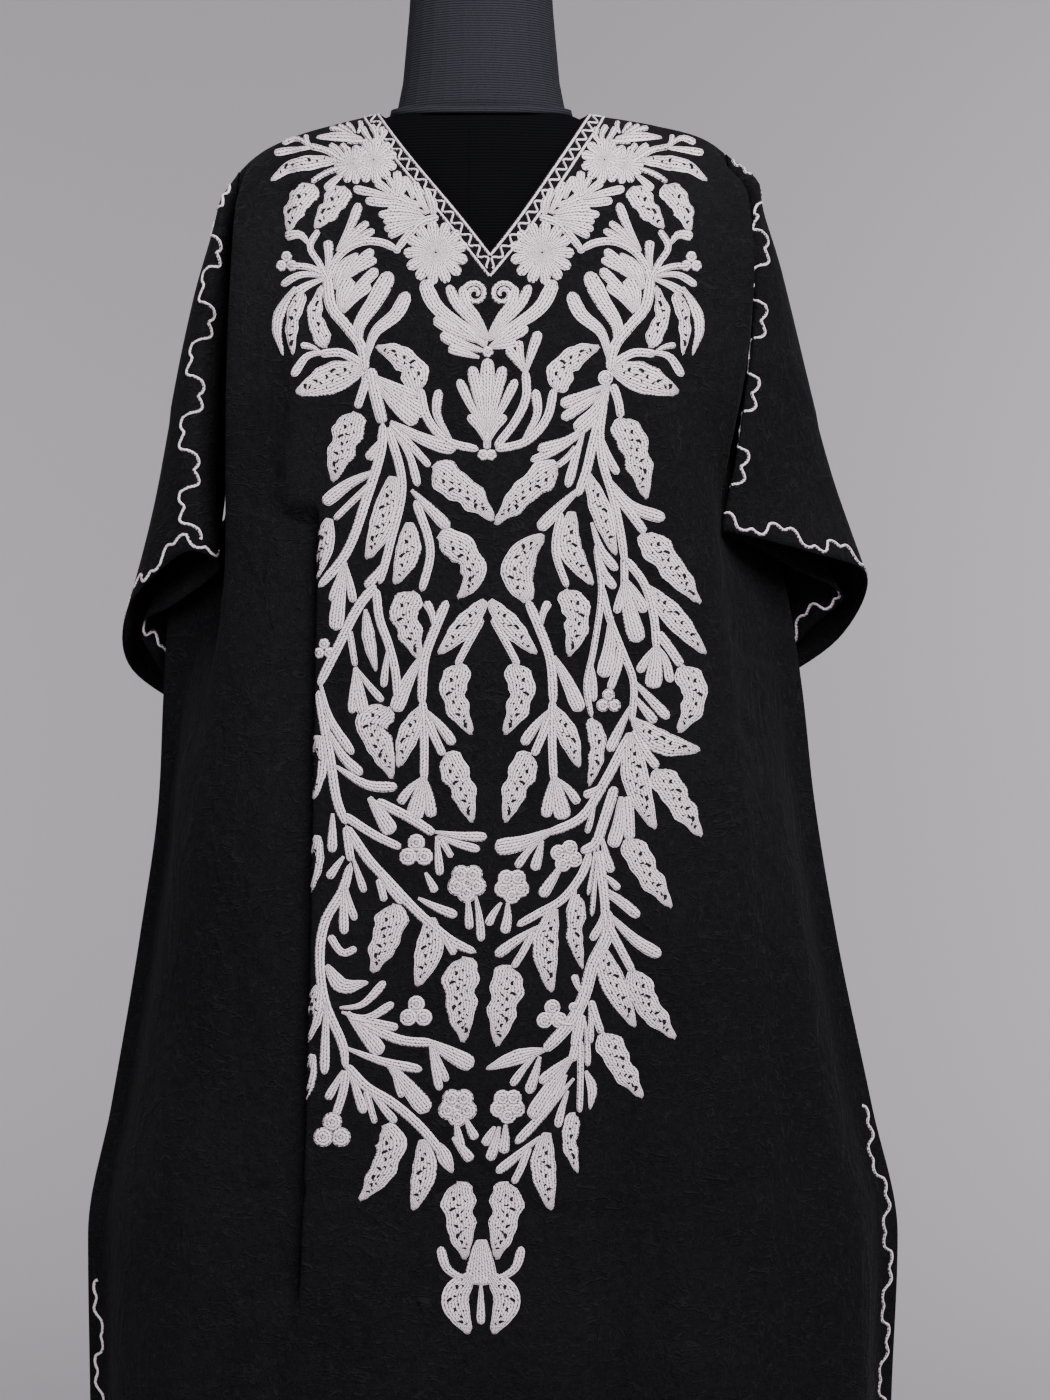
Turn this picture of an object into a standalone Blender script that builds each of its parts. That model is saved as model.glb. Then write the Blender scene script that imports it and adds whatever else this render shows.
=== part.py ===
"""A cotton kaftan with a V-neck and wide short sleeves, worn on a limbless dress form.

The cloth hangs as it does on the form: the front folds under itself at both sides, the sleeves hang
from the dropped shoulders as folded tubes, and both side seams open into slits. Each panel is lofted
from rows, one below the other, whose plan curves come from the tables below.

The garment faces -Y, the viewer's right is +X and the form's base stands at the origin.
"""

import bmesh
import bpy
import numpy as np

# Driving sizes, in millimetres
NECK_POINT_HEIGHT = 1465.0
CLOTH_THICKNESS = 1.6
SEAM_HALF_GAP = 0.35
SEAM_LIP = 1.1
SLEEVE_SEAM_GAP = 1.0
NECK_HALF_WIDTH = 80.5
FRONT_NECK_DEPTH = 119.0
BACK_NECK_DEPTH = 24.0
UNDERARM_DROP = 300.0
SLIT_DROP = 770.0
HEM_DROP = 1320.0
SLIT_SPREAD = 26.0
SHOULDER_ROUND = 100.0
SHOULDER_POWER = 1.7
LEVEL_DROP = 250.0
FACE_POWER = 2.3
PLEAT_DEPTH = 20.0
PLEAT_STEP = 7.0
PLEAT_GAP = 7.0
PLEAT_SET_BACK = 12.0
VALLEY_SHARE = 0.7
FOLD_RISE = 2.5
BACK_SHARES = (0.4, 0.8)
POLE_RADIUS = 16.0
POLE_TOP = 708.0
BASE_RADIUS = 165.0
BASE_HEIGHT = 18.0
BASE_ROUND = 4.0
FORM_GAP = 0.3

# How far each row of the body lies below the neck point, in millimetres
ROW_DROPS = (0, 2, 7, 15, 28, 46, 70, 95, 119, 145, 175, 210, 250, 285, 300, 312, 330, 350,
             380, 415, 450, 490, 535, 590, 650, 710, 770, 830, 900, 990, 1090, 1200, 1320)
SEAM_CORNER_ROW = 5
UNDERARM_ROW = ROW_DROPS.index(UNDERARM_DROP)
UNDERSEAM_ROWS = 4

# The garment's middle line, and its depth in front and behind, by drop
MIDDLE_COLUMNS = "drop middle_x front_y back_y"
MIDDLE = (
    (0, 2, -104, 100),
    (40, 4, -100, 98),
    (105, 8, -104, 104),
    (170, 7, -119, 109),
    (250, 7, -131, 114),
    (380, 7, -135, 116),
    (530, 7, -136, 121),
    (640, 7, -138, 128),
    (770, 7, -141, 134),
    (990, 7, -147, 138),
    (1320, 7, -152, 140),
)

# Each side of the body, by drop: the front's ridge, outer fold and inner fold, the seam, and the
# back's inner fold and outer fold. Sizes are outward from the form's middle, and depths are front to back.
SIDE_COLUMNS = ("drop ridge_x ridge_y fold_x fold_y inner_x inner_y seam_x seam_y "
                "back_inner_x back_inner_y back_fold_x back_fold_y")
RIGHT_SIDE = (
    (0, 145, -54, 172, -52, 181, -44, 189, -34, 181, 44, 172, 52),
    (12, 147, -57, 188, -64, 184, -47, 191, -33, 186, 46, 184, 58),
    (40, 150, -64, 204, -74, 189, -51, 196, -31, 190, 48, 196, 64),
    (100, 156, -84, 207, -80, 188, -56, 200, -28, 190, 52, 200, 71),
    (170, 160, -99, 204, -84, 186, -58, 200, -25, 188, 53, 198, 78),
    (225, 161, -106, 197, -80, 185, -56, 202, -20, 187, 52, 194, 80),
    (250, 161, -107, 192, -74, 186, -50, 203, -14, 186, 48, 192, 80),
    (300, 166, -108, 183, -66, 193, -42, 206, 0, 190, 34, 190, 80),
    (312, 168, -108, 184, -66, 195, -41, 206, -3, 190, 30, 190, 80),
    (330, 170, -108, 185, -68, 198, -40, 219, -8, 192, 27, 191, 80),
    (350, 173, -108, 187, -71, 204, -40, 232, -10, 196, 26, 192, 80),
    (380, 176, -109, 190, -75, 208, -45, 239, -10, 199, 28, 194, 80),
    (450, 184, -109, 199, -81, 217, -50, 250, -5, 203, 34, 197, 82),
    (530, 191, -110, 208, -86, 228, -54, 259, 0, 232, 46, 212, 86),
    (640, 196, -113, 216, -90, 245, -56, 277, 0, 253, 50, 225, 92),
    (770, 202, -118, 228, -95, 267, -56, 304, 0, 275, 48, 240, 94),
    (870, 206, -122, 238, -98, 288, -58, 324, 0, 292, 48, 250, 96),
    (990, 210, -126, 242, -100, 290, -60, 319, 0, 290, 50, 252, 100),
    (1320, 212, -132, 246, -104, 286, -62, 308, 0, 282, 56, 250, 106),
)
LEFT_SIDE = (
    (0, 145, -54, 168, -52, 179, -44, 187, -34, 179, 44, 170, 52),
    (12, 146, -57, 182, -64, 178, -47, 188, -33, 184, 46, 182, 58),
    (40, 147, -64, 187, -76, 172, -51, 187, -31, 188, 48, 192, 64),
    (100, 148, -82, 188, -84, 167, -56, 185, -28, 186, 52, 194, 71),
    (170, 149, -99, 190, -88, 166, -58, 186, -25, 184, 53, 194, 78),
    (250, 151, -108, 191, -92, 167, -60, 192, -14, 183, 48, 190, 80),
    (300, 152, -110, 191, -93, 170, -58, 199, 0, 188, 34, 188, 80),
    (312, 152, -110, 191, -93, 172, -57, 199, -3, 188, 30, 188, 80),
    (330, 153, -110, 191, -93, 176, -56, 216, -8, 190, 27, 189, 80),
    (350, 154, -110, 191, -93, 181, -55, 232, -10, 194, 26, 190, 80),
    (380, 156, -110, 193, -92, 190, -56, 242, -10, 198, 28, 192, 80),
    (450, 160, -111, 200, -90, 212, -56, 247, -5, 204, 34, 197, 82),
    (530, 166, -112, 208, -89, 226, -56, 251, 0, 228, 46, 212, 86),
    (640, 172, -115, 216, -91, 240, -57, 266, 0, 246, 50, 225, 92),
    (770, 180, -119, 226, -95, 258, -57, 288, 0, 264, 48, 238, 94),
    (870, 186, -123, 234, -98, 272, -58, 306, 0, 276, 48, 246, 96),
    (990, 188, -127, 236, -100, 272, -60, 304, 0, 274, 50, 246, 100),
    (1320, 190, -132, 238, -104, 270, -62, 296, 0, 268, 56, 244, 106),
)

# How far the shoulder ridge has dropped, by distance from the form's middle
SHOULDER_COLUMNS = "out drop"
RIGHT_SHOULDER = ((80, 0), (114, 5), (141, 10), (165, 16), (178, 22), (190, 31))
LEFT_SHOULDER = ((80, 0), (110, 7), (139, 15), (165, 26), (178, 35), (190, 47))

# The front's upright pleat at each side, by drop: where its edge lies and how much of it is drawn.
# The right one stays a soft valley.
PLEAT_COLUMNS = "drop edge_x drawn valley"
RIGHT_PLEAT = ((0, 100, 0, 0), (600, 92, 0, 0), (720, 86, 0, 6), (900, 80, 0, 13), (1320, 84, 0, 12))
LEFT_PLEAT = ((0, 122, 0, 0), (300, 118, 0, 0), (325, 119, 0.55, 0), (350, 120, 0.95, 0), (400, 121, 1, 0),
              (700, 126, 1, 0), (860, 131, 0.7, 0), (940, 134, 0, 6), (1320, 136, 0, 8))

# Soft folds that fan out towards the hem: where each starts and ends, and its height and width
FOLD_COLUMNS = "top_x hem_x start lift width"
FRONT_FOLDS = (
    (-215, -262, 620, 9, 26),
    (-170, -205, 560, -8, 24),
    (-70, -80, 800, 7, 30),
    (20, 26, 900, -6, 34),
    (150, 172, 700, 10, 26),
    (232, 262, 640, -9, 22),
)
BACK_FOLDS = (
    (-190, -225, 480, 10, 26),
    (-110, -130, 420, -11, 26),
    (-35, -45, 380, 10, 30),
    (45, 60, 400, -10, 28),
    (115, 140, 460, 11, 26),
    (195, 230, 520, -9, 24),
)

# Each sleeve's upright lines, in order round the tube from the front: where the line lies at each of
# three levels on the way down and at the cuff, and the cuff's height
SLEEVE_COLUMNS = "high_x high_y upper_x upper_y lower_x lower_y cuff_x cuff_y cuff_z"
RIGHT_SLEEVE = (
    (203, -27, 203, -44, 226, 6, 257, 18, 1066),
    (204, -32, 203, -50, 236, -6, 281, -1, 1090),
    (207, -36, 204, -55, 222, -30, 240, -34, 1112),
    (211, -35, 207, -59, 204, -54, 197, -66, 1133),
    (214, -28, 212, -60, 198, -76, 183, -83, 1138),
    (212, -12, 228, -42, 243, -48, 255, -56, 1122),
    (210, 4, 233, -8, 271, -12, 298, -16, 1107),
    (205, 20, 218, 32, 255, 40, 281, 42, 1058),
)
LEFT_SLEEVE = (
    (192, -28, 190, -43, 214, 4, 248, 15, 1030),
    (193, -31, 191, -49, 224, -10, 264, -10, 1067),
    (196, -33, 194, -54, 212, -32, 235, -36, 1084),
    (199, -31, 199, -57, 203, -55, 199, -60, 1112),
    (201, -25, 206, -58, 222, -68, 219, -76, 1123),
    (201, -12, 217, -41, 240, -50, 245, -60, 1108),
    (200, 4, 221, -10, 251, -20, 271, -32, 1081),
    (195, 20, 211, 30, 246, 32, 275, 32, 1034),
)
RIGHT_UNDERSEAM_END = (219.0, 50.0, 1016.0)
LEFT_UNDERSEAM_END = (222.0, 48.0, 996.0)
UNDERSEAM_START_SHIFT = (3.5, 8.0, -14.0)
SLEEVE_LEVELS = (("high", 0.1), ("upper", 0.3), ("lower", 0.75))
SLEEVE_STEPS = (3, 3, 3, 3, 3, 4, 4, 4, 3)

# Samples in each span of a row: the front's eight spans, then the back's five
FRONT_STEPS = (4, 4, 3, 3, 4, 3, 3, 3)
BACK_STEPS = (4, 4, 2, 2, 3)

# The form's level rings, from the bottom up, in millimetres
FORM_COLUMNS = "height half_width front back power"
FORM_RINGS = (
    (708, 140, -80, 84, 2.2),
    (716, 156, -94, 98, 2.2),
    (780, 168, -104, 108, 2.2),
    (860, 158, -104, 100, 2.2),
    (950, 136, -98, 86, 2.2),
    (1030, 122, -94, 80, 2.2),
    (1110, 136, -102, 84, 2.2),
    (1200, 152, -118, 92, 2.2),
    (1250, 158, -118, 97, 2.2),
    (1310, 160, -98, 95, 2.2),
    (1360, 166, -80, 86, 2.0),
    (1395, 168, -68, 72, 1.8),
    (1418, 166, -60, 60, 1.7),
    (1434, 158, -56, 50, 1.6),
    (1445, 138, -52, 41, 1.5),
    (1453, 110, -49, 36, 1.6),
    (1459, 82, -44, 32, 1.9),
    (1463, 72, -44, 31, 2.0),
)
NECK_RINGS = (
    (1463.3, 69, -43, 31, 2.0),
    (1470, 65, -45, 35, 2.0),
    (1490, 61, -45, 38, 2.0),
    (1545, 56, -44, 42, 2.0),
    (1564, 55, -44, 42, 2.0),
    (1572, 48, -37, 36, 2.0),
)
FORM_SEGMENTS = 28
DISC_SEGMENTS = 48
SHARP_ANGLE = 0.7
WELD_DISTANCE = 0.02

METRES = 0.001

# Looks of each piece: base colour, roughness and metallic value
BLACK_COTTON = ((0.020, 0.020, 0.023, 1.0), 0.85, 0.0)
BLACK_JERSEY = ((0.012, 0.012, 0.014, 1.0), 0.9, 0.0)
DARK_STEEL = ((0.05, 0.05, 0.05, 1.0), 0.4, 1.0)


def columns(names, rows):
    """Return a table's columns as arrays, by name."""
    values = np.array(rows, dtype=float)
    return {name: values[:, place] for place, name in enumerate(names.split())}


def even_slopes(places, values):
    """Return slopes that keep a curve through the points from swinging past them."""
    widths = np.diff(places)
    rates = (np.diff(values, axis=0).T / widths).T
    slopes = np.zeros_like(values)
    slopes[0] = rates[0]
    slopes[-1] = rates[-1]
    same_way = rates[:-1] * rates[1:] > 0
    total = np.where(same_way, rates[:-1] + rates[1:], 1.0)
    slopes[1:-1] = np.where(same_way, 2 * rates[:-1] * rates[1:] / total, 0.0)
    return slopes


def smooth(at, places, values):
    """Return the smooth curve through the points (places, values), read at one place."""
    places = np.asarray(places, dtype=float)
    values = np.asarray(values, dtype=float)
    at = min(max(at, places[0]), places[-1])
    span = min(int(np.searchsorted(places, at, side="right")) - 1, len(places) - 2)
    width = places[span + 1] - places[span]
    slopes = even_slopes(places, values)
    return hermite((at - places[span]) / width, values[span:span + 2], slopes[span:span + 2], width)


def read(table, name, drop):
    """Return one column of a table at a drop."""
    return float(smooth(drop, table["drop"], table[name]))


def ease(share):
    """Return a smooth step from 0 to 1."""
    share = min(max(share, 0.0), 1.0)
    return share * share * (3 - 2 * share)


def curve_through(points, steps, end_way=None):
    """Return points along a smooth curve through the given points, with so many steps in each span.

    end_way is the direction in which the curve arrives at its last point.
    """
    points = np.asarray(points, dtype=float)
    steps_between = np.diff(points, axis=0)
    lengths = np.linalg.norm(steps_between, axis=1)
    widths = np.sqrt(lengths)[:, None]
    rates = steps_between / widths
    slopes = np.empty_like(points)
    slopes[0] = rates[0]
    slopes[-1] = rates[-1]
    across = (points[2:] - points[:-2]) / (widths[1:] + widths[:-1])
    slopes[1:-1] = rates[:-1] - across + rates[1:]
    if end_way is not None:
        slopes[-1] = np.asarray(end_way) * np.linalg.norm(rates[-1])
    curve = []
    for span, count in enumerate(steps):
        for step in range(count):
            curve.append(hermite(step / count, points[span:span + 2], slopes[span:span + 2], widths[span]))
    curve.append(points[-1])
    return np.array(curve)


def hermite(share, ends, slopes, width):
    """Return the point at a share of the smooth curve between two ends with given slopes."""
    start_weight = 2 * share**3 - 3 * share**2 + 1
    start_slope_weight = share**3 - 2 * share**2 + share
    end_weight = 3 * share**2 - 2 * share**3
    end_slope_weight = share**3 - share**2
    return (start_weight * ends[0] + start_slope_weight * width * slopes[0]
            + end_weight * ends[1] + end_slope_weight * width * slopes[1])


class Side:
    """One side of the garment: its tables and the sign of its X."""

    def __init__(self, sign, body, shoulder, pleat):
        self.sign = sign
        self.body = columns(SIDE_COLUMNS, body)
        self.shoulder = columns(SHOULDER_COLUMNS, shoulder)
        self.pleat = columns(PLEAT_COLUMNS, pleat)
        self.middle = columns(MIDDLE_COLUMNS, MIDDLE)

    def ridge_drop(self, out):
        """Return how far the shoulder ridge has dropped at a distance from the middle."""
        return max(float(smooth(out, self.shoulder["out"], self.shoulder["drop"])), 0.0)

    def height(self, out, drop):
        """Return the height of a row at a distance from the middle: sloped as the shoulder, then level."""
        return NECK_POINT_HEIGHT - drop - self.ridge_drop(out) * (1 - ease(drop / LEVEL_DROP))

    def roundness(self, out, drop):
        """Return 0 on the shoulder ridge and 1 well below it."""
        below = drop - self.ridge_drop(out) * ease(drop / LEVEL_DROP)
        share = min(max(below / SHOULDER_ROUND, 0.0), 1.0)
        return (1 - (1 - share) ** SHOULDER_POWER) ** (1 / SHOULDER_POWER)

    def neck_edge(self, drop, depth):
        """Return where a row starts: at the neck's edge, or at the middle below it."""
        open_share = max(1 - drop / depth, 0.0)
        return self.sign * read(self.middle, "middle_x", drop) + NECK_HALF_WIDTH * open_share

    def seam_point(self, drop, face):
        """Return the seam's plan point. Above the underarm the front and the back have their own."""
        seam_x = read(self.body, "seam_x", drop)
        seam_y = read(self.body, "seam_y", drop)
        towards = 1 if face == "back" else -1
        if drop < UNDERARM_DROP:
            return seam_x, towards * max(-seam_y, SEAM_LIP)
        apart = SEAM_LIP
        if drop > SLIT_DROP:
            apart += SLIT_SPREAD / 2 * ease((drop - SLIT_DROP) / (HEM_DROP - SLIT_DROP))
        return seam_x, seam_y + towards * apart

    def face_depth(self, out, drop, face):
        """Return the depth of the flat of the front or back at a distance from the middle."""
        middle_y = read(self.middle, face + "_y", drop)
        if face == "front":
            edge_x = read(self.body, "ridge_x", drop)
            edge_y = read(self.body, "ridge_y", drop)
        else:
            edge_x = read(self.body, "back_fold_x", drop)
            edge_y = read(self.body, "back_fold_y", drop)
        from_middle = max(out - self.sign * read(self.middle, "middle_x", drop), 0.0)
        return middle_y + (edge_y - middle_y) * (from_middle / edge_x) ** FACE_POWER

    def front_corners(self, drop):
        """Return the plan points that the front's row passes through, from its inner edge to the seam."""
        start = self.neck_edge(drop, FRONT_NECK_DEPTH)
        edge = read(self.pleat, "edge_x", drop)
        drawn = read(self.pleat, "drawn", drop)
        valley = read(self.pleat, "valley", drop)
        fold_x = read(self.body, "fold_x", drop)
        corners = [
            (start, self.face_depth(start, drop, "front")),
            ((start + edge) / 2, self.face_depth((start + edge) / 2, drop, "front")),
            (edge, self.face_depth(edge, drop, "front")),
        ]
        back_share = ease(2 * drawn)
        spread = min(PLEAT_STEP * (3 - 2 * back_share), (read(self.body, "ridge_x", drop) - edge) / 3)
        behind_x = edge + spread - (spread + PLEAT_DEPTH) * drawn
        outer_x = edge + 2 * spread
        depth = self.face_depth(edge, drop, "front")
        corners.append((behind_x, depth + PLEAT_GAP * back_share + valley))
        corners.append((outer_x, depth + PLEAT_SET_BACK * back_share + VALLEY_SHARE * valley))
        corners.append((read(self.body, "ridge_x", drop), read(self.body, "ridge_y", drop)))
        corners.append((fold_x, read(self.body, "fold_y", drop)))
        corners.append((read(self.body, "inner_x", drop), read(self.body, "inner_y", drop)))
        corners.append(self.seam_point(drop, "front"))
        return corners

    def back_corners(self, drop):
        """Return the plan points that the back's row passes through, from its inner edge to the seam."""
        start = self.neck_edge(drop, BACK_NECK_DEPTH)
        fold_x = read(self.body, "back_fold_x", drop)
        corners = [(start, self.face_depth(start, drop, "back"))]
        for share in BACK_SHARES:
            out = start + (fold_x - start) * share
            corners.append((out, self.face_depth(out, drop, "back")))
        corners.append((fold_x, read(self.body, "back_fold_y", drop)))
        corners.append((read(self.body, "back_inner_x", drop), read(self.body, "back_inner_y", drop)))
        corners.append(self.seam_point(drop, "back"))
        return corners

    def row(self, drop, face):
        """Return one row of the front or back, as points from the inner edge to the seam."""
        if face == "front":
            curve = curve_through(self.front_corners(drop), FRONT_STEPS, end_way=(1.0, 0.0))
            folds = columns(FOLD_COLUMNS, FRONT_FOLDS)
        else:
            curve = curve_through(self.back_corners(drop), BACK_STEPS, end_way=(1.0, 0.0))
            folds = columns(FOLD_COLUMNS, BACK_FOLDS)
        seam_x = curve[-1][0]
        points = []
        for out, depth in curve:
            towards = -1 if face == "front" else 1
            lift = fold_lift(folds, self.sign * out, drop) * (1 - ease(out / seam_x * 2 - 1))
            deep = depth * self.roundness(out, drop) + towards * lift
            points.append((self.sign * out, deep, self.height(out, drop)))
        return np.array(points)


def fold_lift(folds, across, drop):
    """Return how far the soft folds stand out of the cloth at a place."""
    lift = 0.0
    for place in range(len(folds["start"])):
        start = folds["start"][place]
        share = (drop - start) / (HEM_DROP - start)
        if share <= 0:
            continue
        centre = folds["top_x"][place] + (folds["hem_x"][place] - folds["top_x"][place]) * share
        off = (across - centre) / folds["width"][place]
        lift += folds["lift"][place] * ease(share * FOLD_RISE) * np.exp(-off**2)
    return lift


RIGHT = Side(1, RIGHT_SIDE, RIGHT_SHOULDER, RIGHT_PLEAT)
LEFT = Side(-1, LEFT_SIDE, LEFT_SHOULDER, LEFT_PLEAT)


def pull_in(line, inner, amount):
    """Return a line of points moved towards the next line of the same cloth."""
    away = inner - line
    length = np.linalg.norm(away, axis=1)[:, None]
    return line + away / np.maximum(length, 1e-6) * amount


def body_half(side, face):
    """Return one half of the front or back as a grid of points, drawn back from its seams."""
    grid = np.array([side.row(drop, face) for drop in ROW_DROPS])
    last = grid.shape[1] - 1
    grid[:, last] = pull_in(grid[:, last], grid[:, last - 1], SEAM_HALF_GAP)
    towards = -1 if face == "front" else 1
    grid[0, :, 1] += towards * SEAM_HALF_GAP
    return grid


def sleeve_ends(side, end):
    """Return the sleeve's two edge lines, from the seam's top corners down to the cuff."""
    rows = ROW_DROPS[SEAM_CORNER_ROW:UNDERARM_ROW + 1]
    lines = []
    for face in ("front", "back"):
        line = []
        for drop in rows:
            out, depth = side.seam_point(drop, face)
            line.append((side.sign * out, depth * side.roundness(out, drop), side.height(out, drop)))
        underarm = np.array(line[-1])
        start = underarm + np.array(UNDERSEAM_START_SHIFT) * (side.sign, 1, 1)
        lip = SEAM_LIP if face == "back" else -SEAM_LIP
        finish = np.array((side.sign * end[0], end[1] + lip, end[2]))
        for step in range(UNDERSEAM_ROWS):
            line.append(tuple(start + (finish - start) * step / (UNDERSEAM_ROWS - 1)))
        lines.append(np.array(line))
    return lines


def shoulder_arch(side):
    """Return the sleeve seam's line over the shoulder, from its front corner to its back corner."""
    points = []
    drops = ROW_DROPS[:SEAM_CORNER_ROW + 1]
    for face, part in (("front", reversed(drops)), ("back", drops[1:])):
        for drop in part:
            out, depth = side.seam_point(drop, face)
            points.append((side.sign * out, depth * side.roundness(out, drop), side.height(out, drop)))
    return np.array(points)


def read_line(line, share):
    """Return the point at a share of a line's points."""
    places = np.arange(len(line))
    return smooth(share * (len(line) - 1), places, line)


def sleeve_grid(side, stations, end):
    """Return a sleeve as a grid of points, from its seam down to its cuff."""
    table = columns(SLEEVE_COLUMNS, stations)
    front_line, back_line = sleeve_ends(side, end)
    arch = shoulder_arch(side)
    drops = (front_line[0][2] - front_line[:, 2]) / (front_line[0][2] - front_line[-1][2])
    count = len(stations)
    joined = UNDERARM_ROW - SEAM_CORNER_ROW
    grid = []
    for row, down in enumerate(drops):
        corners = [front_line[row]]
        for place in range(count):
            top = read_line(arch, (place + 1) / (count + 1))
            height = table["cuff_z"][place]
            shares = [0.0]
            path = [top]
            for level, share in SLEEVE_LEVELS + (("cuff", 1.0),):
                across = side.sign * table[level + "_x"][place]
                shares.append(share)
                path.append((across, table[level + "_y"][place], top[2] + (height - top[2]) * share))
            corners.append(smooth(down, shares, np.array(path)))
        corners.append(back_line[row])
        line = curve_through(corners, SLEEVE_STEPS)
        if row <= joined:
            line[:, 0] += side.sign * SLEEVE_SEAM_GAP
        grid.append(line)
    return np.array(grid)


def sheet_mesh(name, grids, outward):
    """Build an open cloth surface from grids of points, whose doubled points are joined."""
    mesh = bpy.data.meshes.new(name)
    shape = bmesh.new()
    for grid in grids:
        verts = [[shape.verts.new(point * METRES) for point in row] for row in grid]
        for upper, lower in zip(verts[:-1], verts[1:]):
            for place in range(len(upper) - 1):
                corners = (upper[place], lower[place], lower[place + 1], upper[place + 1])
                shape.faces.new(corners if outward else corners[::-1])
    bmesh.ops.remove_doubles(shape, verts=shape.verts, dist=WELD_DISTANCE * METRES)
    shape.to_mesh(mesh)
    shape.free()
    return mesh


def add_piece(name, mesh, collection, look, cloth):
    """Add a mesh as a named object with its own material, thickened if it is cloth."""
    piece = bpy.data.objects.new(name, mesh)
    collection.objects.link(piece)
    colour, roughness, metallic = look
    material = bpy.data.materials.new(name + "_material")
    material.use_nodes = True
    shader = material.node_tree.nodes["Principled BSDF"]
    shader.inputs["Base Color"].default_value = colour
    shader.inputs["Roughness"].default_value = roughness
    shader.inputs["Metallic"].default_value = metallic
    mesh.materials.append(material)
    mesh.shade_smooth()
    if cloth:
        wall = piece.modifiers.new("cloth wall", "SOLIDIFY")
        wall.thickness = CLOTH_THICKNESS * METRES
        wall.offset = 0.0
    else:
        mesh.set_sharp_from_angle(angle=SHARP_ANGLE)
    return piece


def ring_stack(name, rings):
    """Build a closed body through level rings, from the bottom up."""
    table = columns(FORM_COLUMNS, rings)
    shape = bmesh.new()
    loops = []
    for place in range(len(rings)):
        loop = []
        for step in range(FORM_SEGMENTS):
            turn = 2 * np.pi * step / FORM_SEGMENTS
            across = np.cos(turn)
            along = np.sin(turn)
            power = 2 / table["power"][place]
            depth = table["back"][place] if along > 0 else -table["front"][place]
            point = (table["half_width"][place] * np.sign(across) * abs(across) ** power,
                     depth * np.sign(along) * abs(along) ** power,
                     table["height"][place])
            loop.append(shape.verts.new(np.array(point) * METRES))
        loops.append(loop)
    for lower, upper in zip(loops[:-1], loops[1:]):
        for step in range(FORM_SEGMENTS):
            following = (step + 1) % FORM_SEGMENTS
            shape.faces.new((lower[step], lower[following], upper[following], upper[step]))
    shape.faces.new(loops[0][::-1])
    shape.faces.new(loops[-1])
    mesh = bpy.data.meshes.new(name)
    shape.to_mesh(mesh)
    shape.free()
    return mesh


def add_disc(name, collection, radius, bottom, top, bevel, look):
    """Add an upright cylinder with rounded rims."""
    bpy.ops.mesh.primitive_cylinder_add(vertices=DISC_SEGMENTS, radius=radius * METRES,
                                        depth=(top - bottom) * METRES,
                                        location=(0, 0, (top + bottom) / 2 * METRES))
    made = bpy.context.object
    mesh = made.data
    place = made.location.copy()
    bpy.data.objects.remove(made)
    mesh.name = name
    piece = add_piece(name, mesh, collection, look, False)
    piece.location = place
    if bevel:
        rim = piece.modifiers.new("rounded rim", "BEVEL")
        rim.width = bevel * METRES
        rim.segments = 3
        rim.limit_method = "ANGLE"
    return piece


def build():
    """Build the garment and the form that it hangs on."""
    for item in list(bpy.data.objects):
        bpy.data.objects.remove(item)
    collection = bpy.data.collections.new("kaftan_on_dress_form")
    bpy.context.scene.collection.children.link(collection)

    front = [body_half(RIGHT, "front"), body_half(LEFT, "front")[:, ::-1]]
    add_piece("kaftan_front", sheet_mesh("kaftan_front", front, True), collection, BLACK_COTTON, True)
    back = [body_half(RIGHT, "back"), body_half(LEFT, "back")[:, ::-1]]
    add_piece("kaftan_back", sheet_mesh("kaftan_back", back, False), collection, BLACK_COTTON, True)

    right_sleeve = [sleeve_grid(RIGHT, RIGHT_SLEEVE, RIGHT_UNDERSEAM_END)]
    add_piece("sleeve_right", sheet_mesh("sleeve_right", right_sleeve, True), collection, BLACK_COTTON, True)
    left_sleeve = [sleeve_grid(LEFT, LEFT_SLEEVE, LEFT_UNDERSEAM_END)]
    add_piece("sleeve_left", sheet_mesh("sleeve_left", left_sleeve, False), collection, BLACK_COTTON, True)

    add_piece("form_torso", ring_stack("form_torso", FORM_RINGS), collection, BLACK_JERSEY, False)
    add_piece("form_neck", ring_stack("form_neck", NECK_RINGS), collection, BLACK_JERSEY, False)
    add_disc("form_pole", collection, POLE_RADIUS, BASE_HEIGHT + FORM_GAP, POLE_TOP - FORM_GAP, 0, DARK_STEEL)
    add_disc("form_base", collection, BASE_RADIUS, 0, BASE_HEIGHT, BASE_ROUND, DARK_STEEL)


build()
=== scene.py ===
"""A black crinkled cotton kaftan with cream chain-stitch embroidery, on a limbless dress form.

The cloth is lofted from rows, one below the other, in the same sizes as the solid model, and finer.
The embroidery is charted and follows the cloth, so it turns into the left pleat with it.
Sizes are in millimetres until a mesh is made. The garment faces -Y, the viewer's right is +X and the
form's base stands at the origin.
"""

import logging
from collections.abc import Iterable, Sequence
from dataclasses import dataclass, field
from enum import Enum
from functools import cached_property

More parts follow.
